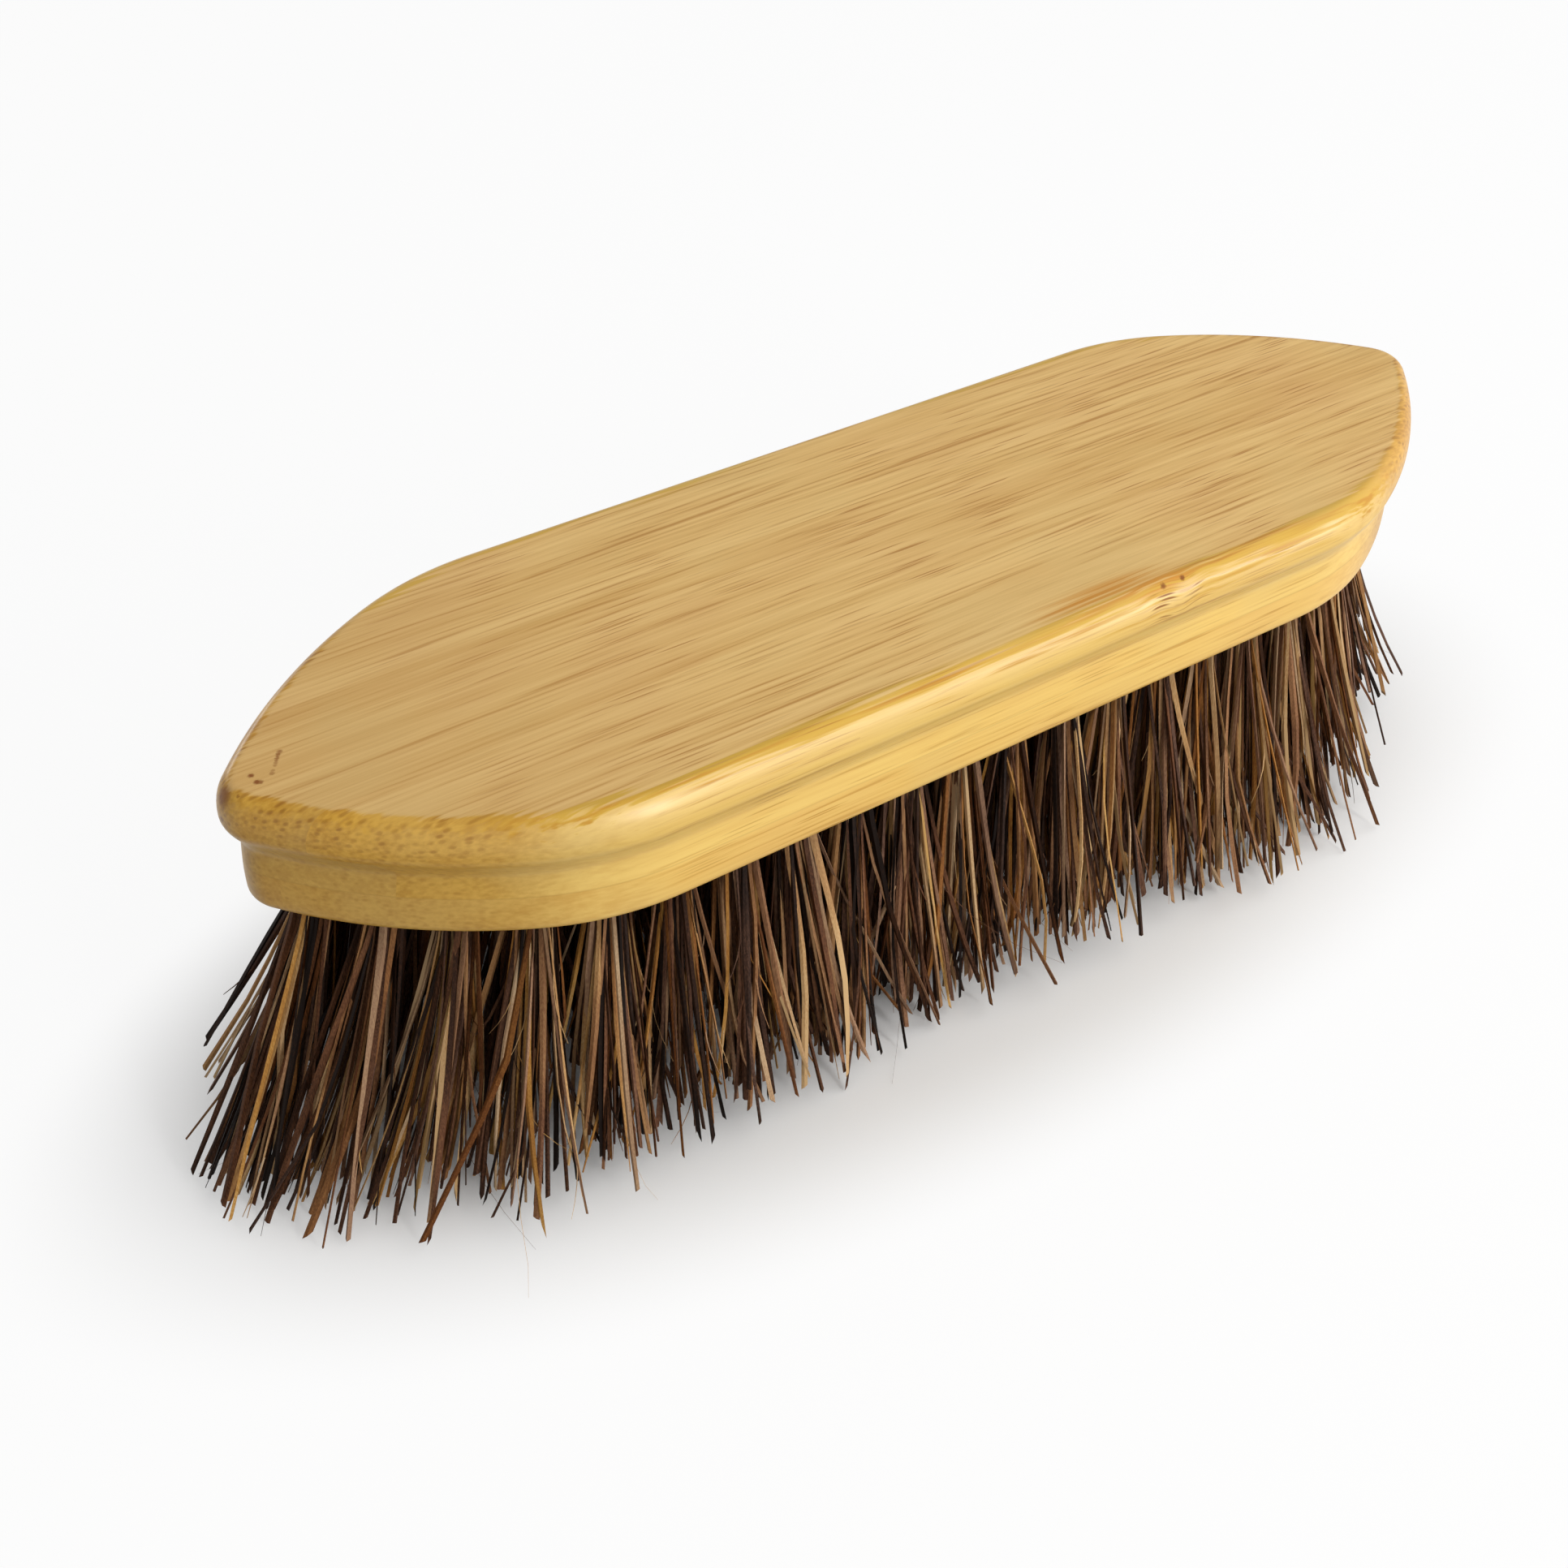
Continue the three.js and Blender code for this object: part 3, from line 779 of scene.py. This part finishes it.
# For each ply: the tones of its edge and of its end grain, its streaks, and the glue lines that reach it.
# The wide glue line in the cove is also painted shade.
PLY_LOOKS = {
    # The back ply's edge, the bullnose, is a little darker than the others: painted shade that tones down
    # the stronger light on it.
    "back": (("#d9ae58", "#e9c36d"), ("#b87f18", "#dfab42"), "#a3661a", [COVE_GLUE_AND_SHADE]),
    "core": (("#e3b761", "#f0cb74"), ("#bb8930", "#d6a747"), "#bd8c3a", [COVE_GLUE_AND_SHADE, FINE_GLUE]),
    "face": (("#dfb05a", "#edc66f"), ("#b98733", "#d1a248"), "#b98533", [FINE_GLUE]),
}
bamboo_looks = {
    f"{ply}_ply": bamboo(f"bamboo_{ply}_satin_lacquer", *look) for ply, look in PLY_LOOKS.items()
}
print("bamboo:", [material.name for material in bamboo_looks.values()])

# %% [markdown]
# ## Set the strips in place
#
# Every strip gets two values that its material reads from the mesh: a seed that shifts the pattern, so
# that no streak runs on across a glue joint, and a tone, because no two lengths of cane are quite the
# same colour. An attribute on the mesh does that with one material for a whole ply, where nine copies of
# a material would do the same with more.

# %% Add the strips
STRIP_TONES = {"near_strip": 0.5, "middle_strip": -0.6, "far_strip": 0.1}
SEED_STEP = (0.37, 0.053, 0.031)

for number, ((ply, strip_name), mesh) in enumerate(strip_meshes.items()):
    vertices = len(mesh.vertices)
    store(mesh, "strip_seed", np.tile(np.array(SEED_STEP, np.float32) * (number + 1), (vertices, 1)))
    store(mesh, "strip_tone", np.full(vertices, STRIP_TONES[strip_name]))
    piece = add_piece(f"{ply}_{strip_name}_bamboo", mesh, bamboo_looks[ply])
    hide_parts(f"{ply}_{strip_name}")
print(f"{len(strip_meshes)} strips set in the block")

# %% [markdown]
# ## Palm fibre
#
# The bristles are split from the leaf stalks of a palm. They are stiff, flat rather than round, never
# quite straight, and cut to length by a trimmer that leaves some of them long, some broken and many with
# a torn end. Blender's hair would be quick, but it can't be exported as a mesh and it is always round.
# Here each fibre is a small tube with an uneven flat section that follows its own line from the hole to
# the tip. All fibres of a group are calculated together as arrays, which takes a second or two for
# thousands of them.

# %% Shape tubes from centre lines
random = np.random.default_rng(20)
twist_spread = 0.7
uneven_section = (0.78, 1.16)
cut_slant = 1.2


def unit(vectors):
    """The same directions with length 1."""
    return vectors / np.linalg.norm(vectors, axis=-1, keepdims=True)


def tubes(lines, widths, thickness, sides):
    """Vertices and faces of flat tubes. Lines are (tube, ring, 3) and widths (tube, ring), in mm."""
    count, rings, _ = lines.shape
    tangent = unit(np.gradient(lines, axis=1))
    twist = random.normal(0, twist_spread, (count, 1)) * np.linspace(0, 1, rings)
    heading = random.uniform(0, 2 * math.pi, (count, 1)) + twist
    sideways = np.stack([np.cos(heading), np.sin(heading), np.zeros_like(heading)], axis=-1)
    broad = unit(np.cross(tangent, sideways))
    narrow = np.cross(tangent, broad)
    angles = 2 * math.pi * np.arange(sides) / sides
    uneven = random.uniform(*uneven_section, (count, 1, sides))
    across = widths[:, :, None] / 2 * np.cos(angles) * uneven
    through = widths[:, :, None] / 2 * thickness[:, None, None] * np.sin(angles) * uneven
    points = lines[:, :, None] + across[..., None] * broad[:, :, None]
    points = points + through[..., None] * narrow[:, :, None]
    slant = across[:, -1] * random.normal(0, cut_slant, (count, 1))
    points[:, -1] += slant[..., None] * tangent[:, -1, None]

    corner = np.arange(sides)
    following = (corner + 1) % sides
    ring = np.arange(rings - 1)[:, None] * sides
    above = ring + sides
    wall = np.stack([ring + corner, ring + following, above + following, above + corner], axis=-1)
    first = np.arange(count)[:, None] * rings * sides
    walls = (first[:, :, None] + wall.reshape(-1, 4)).reshape(-1, 4)
    starts = first + corner[::-1]
    ends = first + (rings - 1) * sides + corner
    return points.reshape(-1, 3), [*walls.tolist(), *starts.tolist(), *ends.tolist()]


print("tube maker ready")

# %% [markdown]
# ## The line of each fibre
#
# A tuft is a bundle that was folded over a wire and pulled into its hole, so its fibres leave the hole
# side by side and then fan out. Tufts at the rim lean outwards, most of all at the two ends, and use has
# combed the whole field a little to the left. The trim isn't even: it rises and falls along the brush,
# and from tuft to tuft. Each fibre gets its own tip: near the trimmed plane for most, higher for the
# broken ones, and further along the rim for a few strays. On the way there it bows and sways, and a few
# have a kink.

# %% Draw the centre lines
FIBRE_RINGS, SPLINTER_RINGS = 8, 5
root_sink, root_gap = 8.0, 0.35
fan_radius, tip_scatter, tip_lift = 6.2, 3.0, 1.8
tuft_lean, tuft_lift = 1.5, 1.4
trim_wave, trim_period, trim_start = 2.8, 70.0, -85.0
left_flare, right_flare, side_flare, end_fan = 21.0, 18.0, 7.0, 1.4
worn_lean = -2.0
stray_share, stray_out, stray_along, calmer_ends = 0.13, 3.0, 8.0, 0.7
broken_share, broken_heights, broken_reach = 0.12, (5.0, 24.0), 0.75
most_bow = 0.45
sway_spread, sway_waves = 1.2, (0.7, 1.6)
kinked_share, kink_places, kink_spread = 0.2, (0.35, 0.85), 9.0
furthest_tip = np.array([119.0, 42.5])
first_peel, peel_lengths, peel_upright, peel_lowest = 3, (0.5, 1.2), 0.3, 0.1

ring_tip = outline(ring_inset)[0][0]
ring_side = half_width - ring_inset
root_radius = hole_diameter / 2 - root_gap


def flared(places):
    """Where the middle of each tuft ends at the tips: upright in the middle, leaning out at the rim."""
    along = places[:, 0] / ring_tip
    across = places[:, 1] / ring_side
    lean_along = np.where(along < 0, left_flare, right_flare) * along**3
    lean_across = side_flare * across * (1 + end_fan * along**2)
    return places + np.column_stack([lean_along + worn_lean, lean_across])


def fibre_lines(places, per_tuft):
    """Centre lines of all fibres of a group, from inside the hole to the tip."""
    middles = np.repeat(places, per_tuft, axis=0)
    ends = np.repeat(flared(places) + random.normal(0, tuft_lean, places.shape), per_tuft, axis=0)
    lift = np.abs(random.normal(0, tuft_lift, len(places)))
    lift += trim_wave * np.sin(math.pi * (places[:, 0] - trim_start) / trim_period) ** 2
    lift = np.repeat(lift, per_tuft)
    count = len(middles)
    angle = random.uniform(0, 2 * math.pi, count)
    reach = np.sqrt(random.uniform(0, 1, count))
    out = np.column_stack([np.cos(angle), np.sin(angle)]) * reach[:, None]
    roots = middles + out * root_radius
    tips = ends + out * fan_radius + random.normal(0, tip_scatter, (count, 2))
    stray = random.uniform(0, 1, count) < stray_share
    outwards = unit(ends - middles)
    along_rim = outwards[:, ::-1] * (-1, 1)
    strayed = outwards * random.normal(0, stray_out, (count, 1))
    strayed = strayed + along_rim * random.normal(0, stray_along, (count, 1))
    strayed *= 1 - calmer_ends * np.abs(middles[:, :1]) / ring_tip
    tips += np.where(stray[:, None], strayed, 0)
    tips = np.clip(tips, -furthest_tip, furthest_tip)
    tip_height = lift + np.abs(random.normal(0, tip_lift, count))
    broken = (random.uniform(0, 1, count) < broken_share) & ~stray
    tip_height = np.where(broken, random.uniform(*broken_heights, count), tip_height)
    tips = np.where(broken[:, None], roots + broken_reach * (tips - roots), tips)

    share = np.linspace(0, 1, FIBRE_RINGS)[None, :]
    start = block_face + root_sink
    height = start + (tip_height[:, None] - start) * share
    drop = np.clip((block_face - height) / block_face, 0, 1)
    bow = random.uniform(0.0, most_bow, (count, 1))
    lean = drop * (1 - bow) + bow * drop**2
    flat = roots[:, None] + (tips - roots)[:, None] * lean[..., None]
    sway = random.normal(0, sway_spread, (count, 1, 2))
    waves = random.uniform(*sway_waves, (count, 1))
    flat = flat + sway * (np.sin(math.pi * waves * drop) * drop)[..., None]
    kink_at = random.uniform(*kink_places, (count, 1))
    kinked = random.uniform(0, 1, (count, 1)) < kinked_share
    kink = np.where(kinked, np.maximum(drop - kink_at, 0), 0)
    flat = flat + random.normal(0, kink_spread, (count, 1, 2)) * kink[..., None]
    flat = np.clip(flat, -furthest_tip, furthest_tip)
    return np.concatenate([flat, height[..., None]], axis=-1)


def splinter_lines(lines, chosen, length, spread):
    """Centre lines that peel off the chosen fibres and curve away from them."""
    count = len(chosen)
    start_ring = random.integers(first_peel, FIBRE_RINGS - 1, count)
    start = lines[chosen, start_ring]
    way = unit(lines[chosen, start_ring + 1] - lines[chosen, start_ring])
    away = random.normal(0, spread, (count, 3)) * (1, 1, peel_upright)
    share = np.linspace(0, 1, SPLINTER_RINGS)[None, :, None]
    size = random.uniform(*peel_lengths, (count, 1, 1)) * length
    peeled = start[:, None] + size * (share * way[:, None] + share**2 * away[:, None])
    peeled[..., 2] = np.maximum(peeled[..., 2], peel_lowest)
    peeled[..., :2] = np.clip(peeled[..., :2], -furthest_tip, furthest_tip)
    return peeled


print(f"fibres reach at most {furthest_tip} mm from the middle")

# %% [markdown]
# ## Draw the tufts
#
# Fibres differ in width, in flatness and in tone. The inner tufts hold no pale ones, which is painted shade
# that darkens the gaps between the outer tufts, and tufts further right are paler, which is painted light.
# Splinters peel off some fibres, and thin hairs stand out here and there. Each vertex carries the fibre's
# tone and its distance from the block's face, for the painted shade that darkens a fibre near its root.

# %% Draw the fibres of every group
FIBRES_PER_TUFT = {"outer_tuft_ring": 66, "inner_tuft_ring": 60, "centre_tuft_row": 60}
TONE_LIMITS_WITH_INNER_SHADE = {"outer_tuft_ring": 1.0, "inner_tuft_ring": 0.7, "centre_tuft_row": 0.6}
FIBRE_SIDES, SPLINTER_SIDES = 4, 3
fibre_width, fibre_width_spread, width_limits = 0.79, 0.28, (0.35, 1.05)
waver_size, waver_waves = 0.12, 1.4
pointed_share, pointed_taper, plain_taper, taper_start = 0.08, 0.75, 0.1, 0.6
fibre_flatness = (0.35, 0.8)
# Tufts towards the right are paler: painted light on the right of the field.
tuft_tone_spread, painted_light_right = 0.05, 0.045
# Splinters and hairs: their share of the fibres, and their length, spread and width.
PEELS = ((0.26, 9.0, 0.16, 0.36), (0.03, 12.0, 0.6, 0.11))
peel_widths, peel_flatness, peel_end_width, paler_peel = (0.6, 1.3), (0.5, 0.9), 0.3, 0.2


def fibre_widths(count):
    """Widths along each fibre: uneven, a little narrower at the tip, and drawn to a point on a few."""
    along = np.linspace(0, 1, FIBRE_RINGS)[None, :]
    width = fibre_width * np.exp(random.normal(0, fibre_width_spread, (count, 1)))
    turns = waver_waves * along + random.uniform(0, 1, (count, 1))
    waver = 1 + waver_size * np.sin(2 * math.pi * turns)
    pointed = random.uniform(0, 1, (count, 1)) < pointed_share
    near_tip = np.clip((along - taper_start) / (1 - taper_start), 0, 1)
    taper = 1 - np.where(pointed, pointed_taper, plain_taper) * near_tip
    return np.clip(width, *width_limits) * waver * taper


def tuft_group(group):
    """Points, faces, tones and depths for one group of tufts."""
    places = tuft_places[group]
    lines = fibre_lines(places, FIBRES_PER_TUFT[group])
    count = len(lines)
    # Inner tufts are held to darker tones: painted shade in the gaps between the outer tufts.
    tones = random.uniform(0, 1, count) * TONE_LIMITS_WITH_INNER_SHADE[group]
    # Tufts towards the right get paler tones: painted light.
    tuft_tone = random.normal(0, tuft_tone_spread, len(places)) + painted_light_right * places[:, 0] / ring_tip
    tones = np.clip(tones + np.repeat(tuft_tone, FIBRES_PER_TUFT[group]), 0, 1)
    peeling = [np.flatnonzero(random.uniform(0, 1, count) < peel[0]) for peel in PEELS]
    batches = [(lines, fibre_widths(count), random.uniform(*fibre_flatness, count), FIBRE_SIDES, tones)]
    for chosen, (_, length, spread, width) in zip(peeling, PEELS):
        taper = np.linspace(1, peel_end_width, SPLINTER_RINGS)[None, :]
        widths = width * random.uniform(*peel_widths, (len(chosen), 1)) * taper
        flatness = random.uniform(*peel_flatness, len(chosen))
        peeled = splinter_lines(lines, chosen, length, spread)
        peel_tones = np.clip(tones[chosen] + paler_peel, 0, 1)
        batches.append((peeled, widths, flatness, SPLINTER_SIDES, peel_tones))

    points, faces, shades, depths = [], [], [], []
    for centre_lines, widths, flatness, sides, batch_tones in batches:
        first = sum(len(batch) for batch in points)
        batch_points, batch_faces = tubes(centre_lines, widths, flatness, sides)
        points.append(batch_points)
        faces.extend([[first + i for i in face] for face in batch_faces])
        rings = centre_lines.shape[1]
        shades.append(np.repeat(batch_tones, rings * sides))
        depths.append(block_face - np.repeat(centre_lines[..., 2].ravel(), sides))
    points = np.vstack(points)
    points[:, 2] = np.maximum(points[:, 2], 0)
    return points, faces, np.concatenate(shades), np.concatenate(depths)


fibre_meshes = {}
for group in tuft_places:
    points, faces, shades, depths = tuft_group(group)
    mesh = bpy.data.meshes.new(group)
    mesh.from_pydata((points * MM).tolist(), [], faces)
    store(mesh, "fibre_tone", shades)
    store(mesh, "fibre_depth", depths)
    mesh.update()
    fibre_meshes[group] = mesh
print({group: len(mesh.polygons) for group, mesh in fibre_meshes.items()})

# %% [markdown]
# ## The colour of palm fibre
#
# Stalk fibre has a dark woody core and a tan skin. Splitting leaves some fibres almost black, some
# reddish brown and some golden, and many change from one to the other on their way down. The surface is
# dry and finely ribbed along the fibre, with a weak sheen. So one ramp holds the family of browns, the
# fibre's own tone picks a place on it, and noise that is stretched along the fibre moves that place up
# and down. Some fibres are a little greyer than others, and all are darker near the root, a painted shade
# under the block. Real ribs are far finer than a pixel, so these are drawn about three times too coarse,
# to show at all.

# %% Make the fibre material
RIB_SPACING, RIB_LENGTH, RIB_CHANGE = 0.16, 7.0, (0.3, 0.7, -0.1, 0.1)
RIB_RELIEF, RIB_STRENGTH = 0.05, 0.6
SKIN_LENGTH, SKIN_CHANGE = 24.0, (0.25, 0.75, -0.22, 0.22)
RIB_SHIFT, SKIN_SHIFT = (3.1, 2.3, 1.7), (900, 700, 0)
GREYNESS_CHANGES, GREYNESS = 300.0, (0.3, 0.7, 0.8, 1.08)
ROOT_SHADE, ROOT_SHADE_TONE = (0.0, 12.0, 0.4, 0.0), "#160d09"
FIBRE_ROUGHNESS, FIBRE_SHEEN = 0.6, 0.1
FIBRE_BROWNS = [
    (0.0, "#140a05"),
    (0.19, "#361f11"),
    (0.43, "#694229"),
    (0.67, "#96683f"),
    (0.87, "#b48751"),
    (1.0, "#c8a16c"),
]


def palm_fibre():
    """Split palm stalk: dry, ribbed, and every brown between black coffee and straw."""
    material, tree = new_material("palm_fibre_split")
    place = add(tree, "TexCoord", out="Object")
    tone = add(tree, "Attribute", out="Fac", attribute_name="fibre_tone")
    depth = add(tree, "Attribute", out="Fac", attribute_name="fibre_depth")
    shift = add(tree, "CombineXYZ", [tone, tone, tone])
    own = add(tree, "VectorMath", [shift, RIB_SHIFT, place], **TIMES_PLUS)
    scaled = add(tree, "VectorMath", [own, per_mm(RIB_SPACING, RIB_SPACING, RIB_LENGTH)], **TIMES)
    ribs = add(tree, "TexNoise", {"Vector": scaled, "Scale": 1.0, "Detail": 2.0})
    lengthwise = add(tree, "VectorMath", [place, (0, 0, per_mm(SKIN_LENGTH)[0])], **TIMES)
    lengthwise = add(tree, "VectorMath", [shift, SKIN_SHIFT, lengthwise], **TIMES_PLUS)
    patches = add(tree, "TexNoise", {"Vector": lengthwise, "Scale": 1.0, "Detail": 2.0})
    moved = add(tree, "MapRange", [patches, *SKIN_CHANGE])
    moved = add(tree, "Math", [moved, tone], **PLUS)
    ribbed = add(tree, "MapRange", [ribs, *RIB_CHANGE])
    moved = add(tree, "Math", [moved, ribbed], **PLUS)
    colour = add(tree, "ValToRGB", [moved], "Color", FIBRE_BROWNS)
    grey = {"W": tone, "Scale": GREYNESS_CHANGES, "Detail": 0.0}
    grey = add(tree, "TexNoise", grey, noise_dimensions="1D")
    vivid = add(tree, "MapRange", [grey, *GREYNESS])
    colour = add(tree, "HueSaturation", {"Color": colour, "Saturation": vivid})
    # Painted shade: each fibre darkens towards its root, under the block.
    shaded = add(tree, "MapRange", [depth, *ROOT_SHADE], **SMOOTH)
    colour = add(tree, "Mix", {0: shaded, 6: colour, 7: linear(ROOT_SHADE_TONE)}, **COLOURS)
    bump = add(tree, "Bump", {"Height": ribs, "Distance": RIB_RELIEF * MM, "Strength": RIB_STRENGTH})
    sockets = {"Base Color": colour, "Normal": bump}
    sheen = {"Roughness": FIBRE_ROUGHNESS, "Specular IOR Level": FIBRE_SHEEN}
    surface = add(tree, "BsdfPrincipled", {**sockets, **sheen})
    add(tree, "OutputMaterial", {"Surface": surface})
    return material


fibre_look = palm_fibre()
for group, mesh in fibre_meshes.items():
    piece = add_piece(group.replace("tuft", "fibre"), mesh, fibre_look)
    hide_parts(group)
print("fibres:", fibre_look.name)

# %% [markdown]
# ## Wire anchors
#
# Each tuft is held by a short flat wire that was driven into the bottom of the hole across the fold.
# Nobody sees it on a whole brush, but it is what keeps the fibres in, so the model has it: a galvanised
# strip a little narrower than the hole. A box with its edges broken is all the shape that such a wire
# has.

# %% Add the anchors
anchor_length, anchor_height, anchor_thickness = 5.2, 2.0, 0.45
anchor_gap, anchor_edge, round_edge = 0.3, 0.1, 0.5
BLOTCH_SIZE, BLOTCH_RANGE = 0.8, (0.3, 0.7)
ZINC_TONES, ZINC_ROUGHNESS = ("#8d9093", "#b4b7b8"), (0.38, 0.55)


def galvanised_wire():
    """Zinc-coated steel: a dull grey metal with faint blotches."""
    material, tree = new_material("galvanised_steel_wire")
    place = add(tree, "TexCoord", out="Object")
    blotches = add(tree, "TexNoise", {"Vector": place, "Scale": per_mm(BLOTCH_SIZE)[0], "Detail": 2.0})
    colour = add(tree, "ValToRGB", [blotches], "Color", list(zip(BLOTCH_RANGE, ZINC_TONES)))
    rough = add(tree, "MapRange", [blotches, *BLOTCH_RANGE, *ZINC_ROUGHNESS])
    surface = add(tree, "BsdfPrincipled", {"Base Color": colour, "Metallic": 1.0, "Roughness": rough})
    add(tree, "OutputMaterial", {"Surface": surface})
    return material


anchors = bmesh.new()
for x, y in all_places:
    turn = Matrix.Rotation(random.uniform(0, math.pi), 4, "Z")
    place = Matrix.Translation((x, y, block_face + hole_depth - anchor_height / 2 - anchor_gap))
    size = Matrix.Diagonal((anchor_length, anchor_thickness, anchor_height, 1))
    bmesh.ops.create_cube(anchors, size=1.0, matrix=place @ turn @ size)
broken_edge = {"offset": anchor_edge, "segments": 2, "affect": "EDGES", "profile": round_edge}
bmesh.ops.bevel(anchors, geom=anchors.edges[:], **broken_edge)
anchor_piece = add_piece("wire_anchors", finished_mesh("wire_anchors", anchors), galvanised_wire())
print(f"{len(all_places)} anchors, {len(anchor_piece.data.polygons)} faces")

# %% [markdown]
# ## Floor, surroundings and light
#
# The brush stands on a white sheet in a bright room. The sheet and the room are plain white to the camera
# and to reflections, by a switch on the kind of ray, while what they shed on the brush stays at a plain
# level. The sheet isn't white under the brush, where no light reaches it, and it keeps a soft shadow all
# round, because part of what the camera sees is still a lit, matt surface. From below it is clear, so
# that the underside can be looked at.
#
# Four soft lamps stand round it: a tall strip, low in front, that lights the moulded side and draws the
# shine on the near shoulder, a small one low on the right that draws the sheen on the other half of the
# side, a wide one above to the right, and a weak one low behind, which draws the thin pale rim on the far
# edge of the left end.

# %% Lay the floor and light the scene
FLOOR_SIZE = 8.0
SHEET_GLOW, SHEET_WHITE, WHITE = "#9b9b99", "#fbfbfa", (1, 1, 1, 1)
SHADOW_SHARE = 0.1
SHADE_REACH, SHADE_EDGE = (130.0, 58.0), (0.7, 1.15)
ROOM_LEVEL = 0.42
# Lamps: the way towards them, distance, width and height in metres, and level.
LAMPS = {
    "shine_lamp": ((0.12, -0.945, 0.3), 0.82, 0.12, 0.44, 0.375),
    "low_lamp": ((0.65, -0.75, 0.07), 0.8, 0.3, 0.16, 0.22),
    "right_lamp": ((0.6, -0.4, 0.69), 0.9, 1.1, 1.1, 0.56),
    "rim_lamp": ((-0.19, 0.97, 0.12), 1.2, 0.25, 0.25, 0.1),
}


def seen_directly(tree):
    """1 for rays from the camera, from a mirror or through glass, and 0 for the rest."""
    camera_ray = add(tree, "LightPath", out="Is Camera Ray")
    glossy = camera_ray.node.outputs["Is Glossy Ray"]
    through = camera_ray.node.outputs["Is Transmission Ray"]
    shiny = add(tree, "Math", [glossy, through], **LARGER)
    return add(tree, "Math", [camera_ray, shiny], **LARGER)


def white_sheet():
    """Matt white paper that the camera sees as white, with the shadow of what stands on it."""
    material, tree = new_material("white_paper_sheet")
    direct = seen_directly(tree)
    shed = add(tree, "BsdfDiffuse", {"Color": linear(SHEET_GLOW)})
    lit = add(tree, "BsdfDiffuse", {"Color": linear(SHEET_WHITE)})
    white = add(tree, "Emission", {"Color": WHITE, "Strength": 1.0})
    place = add(tree, "TexCoord", out="Object")
    scaled = add(tree, "VectorMath", [place, per_mm(*SHADE_REACH, 1)], **TIMES)
    away = add(tree, "VectorMath", [scaled], "Value", operation="LENGTH")
    share = add(tree, "MapRange", [away, *SHADE_EDGE, 0.0, 1 - SHADOW_SHARE], **SMOOTH)
    seen = add(tree, "MixShader", [share, lit, white])
    upper = add(tree, "MixShader", [direct, shed, seen])
    below = add(tree, "NewGeometry", out="Backfacing")
    surface = add(tree, "MixShader", [below, upper, add(tree, "BsdfTransparent")])
    add(tree, "OutputMaterial", {"Surface": surface})
    return material


floor_mesh = bpy.data.meshes.new("floor")
half = FLOOR_SIZE / 2
corners = [(-half, -half, 0), (half, -half, 0), (half, half, 0), (-half, half, 0)]
floor_mesh.from_pydata(corners, [], [(0, 1, 2, 3)])
floor_mesh.materials.append(white_sheet())
floor = linked("floor", floor_mesh)

world = bpy.data.worlds.new("bright_room")
bpy.context.scene.world = world
world.use_nodes = True
world.node_tree.nodes.clear()
room = add(world.node_tree, "Background", {"Color": WHITE, "Strength": ROOM_LEVEL})
white = add(world.node_tree, "Background", {"Color": WHITE, "Strength": 1.0})
either = add(world.node_tree, "MixShader", [seen_directly(world.node_tree), room, white])
add(world.node_tree, "OutputWorld", {"Surface": either})


def soft_lamp(name, towards, distance, width, height, level):
    """A lamp box that looks at the brush from a direction, and lights a facing surface to that level."""
    lamp = bpy.data.lights.new(name, "AREA")
    lamp.shape = "RECTANGLE"
    lamp.size = width
    lamp.size_y = height
    lamp.energy = level * (math.pi * distance) ** 2
    stand = linked(name, lamp)
    way = Vector(towards).normalized()
    stand.location = Vector((0, 0, block_face * MM)) + way * distance
    stand.rotation_mode = "QUATERNION"
    stand.rotation_quaternion = way.to_track_quat("Z", "Y")


for name, values in LAMPS.items():
    soft_lamp(name, *values)
bpy.context.scene.view_settings.view_transform = "Standard"
print("floor, room and lamps:", list(LAMPS))

# %% [markdown]
# ## The camera
#
# The photograph was taken from close by, so the near end looks much larger than the far one. A camera
# that was fitted to the block's edges gives the place, the angles and the focal length. The picture was
# trimmed off centre, and a small lens shift stands for that.

# %% Set the camera
PHOTO_SIZE = 1932
focal_pixels = 2297.4
centre_pixel = (998.9, 930.0)
camera_azimuth, camera_elevation, camera_roll = (math.radians(a) for a in (-34.55, 40.86, 1.2))
camera_place = Vector((-137.44, -177.6, 216.82))

camera = bpy.data.cameras.new("camera")
camera.sensor_width = 36.0
camera.lens = camera.sensor_width * focal_pixels / PHOTO_SIZE
camera.shift_x = (PHOTO_SIZE / 2 - centre_pixel[0]) / PHOTO_SIZE
camera.shift_y = (centre_pixel[1] - PHOTO_SIZE / 2) / PHOTO_SIZE
camera.clip_start = 0.01
viewer = linked("camera", camera)
level = math.cos(camera_elevation)
back_axis = Vector(
    (math.sin(camera_azimuth) * level, -math.cos(camera_azimuth) * level, math.sin(camera_elevation))
)
viewer.location = camera_place * MM
viewer.rotation_mode = "QUATERNION"
viewer.rotation_quaternion = back_axis.to_track_quat("Z", "Y") @ Quaternion((0, 0, 1), camera_roll)
bpy.context.scene.camera = viewer
print(f"lens {camera.lens:.1f} mm, shift {camera.shift_x:.4f}, {camera.shift_y:.4f}")
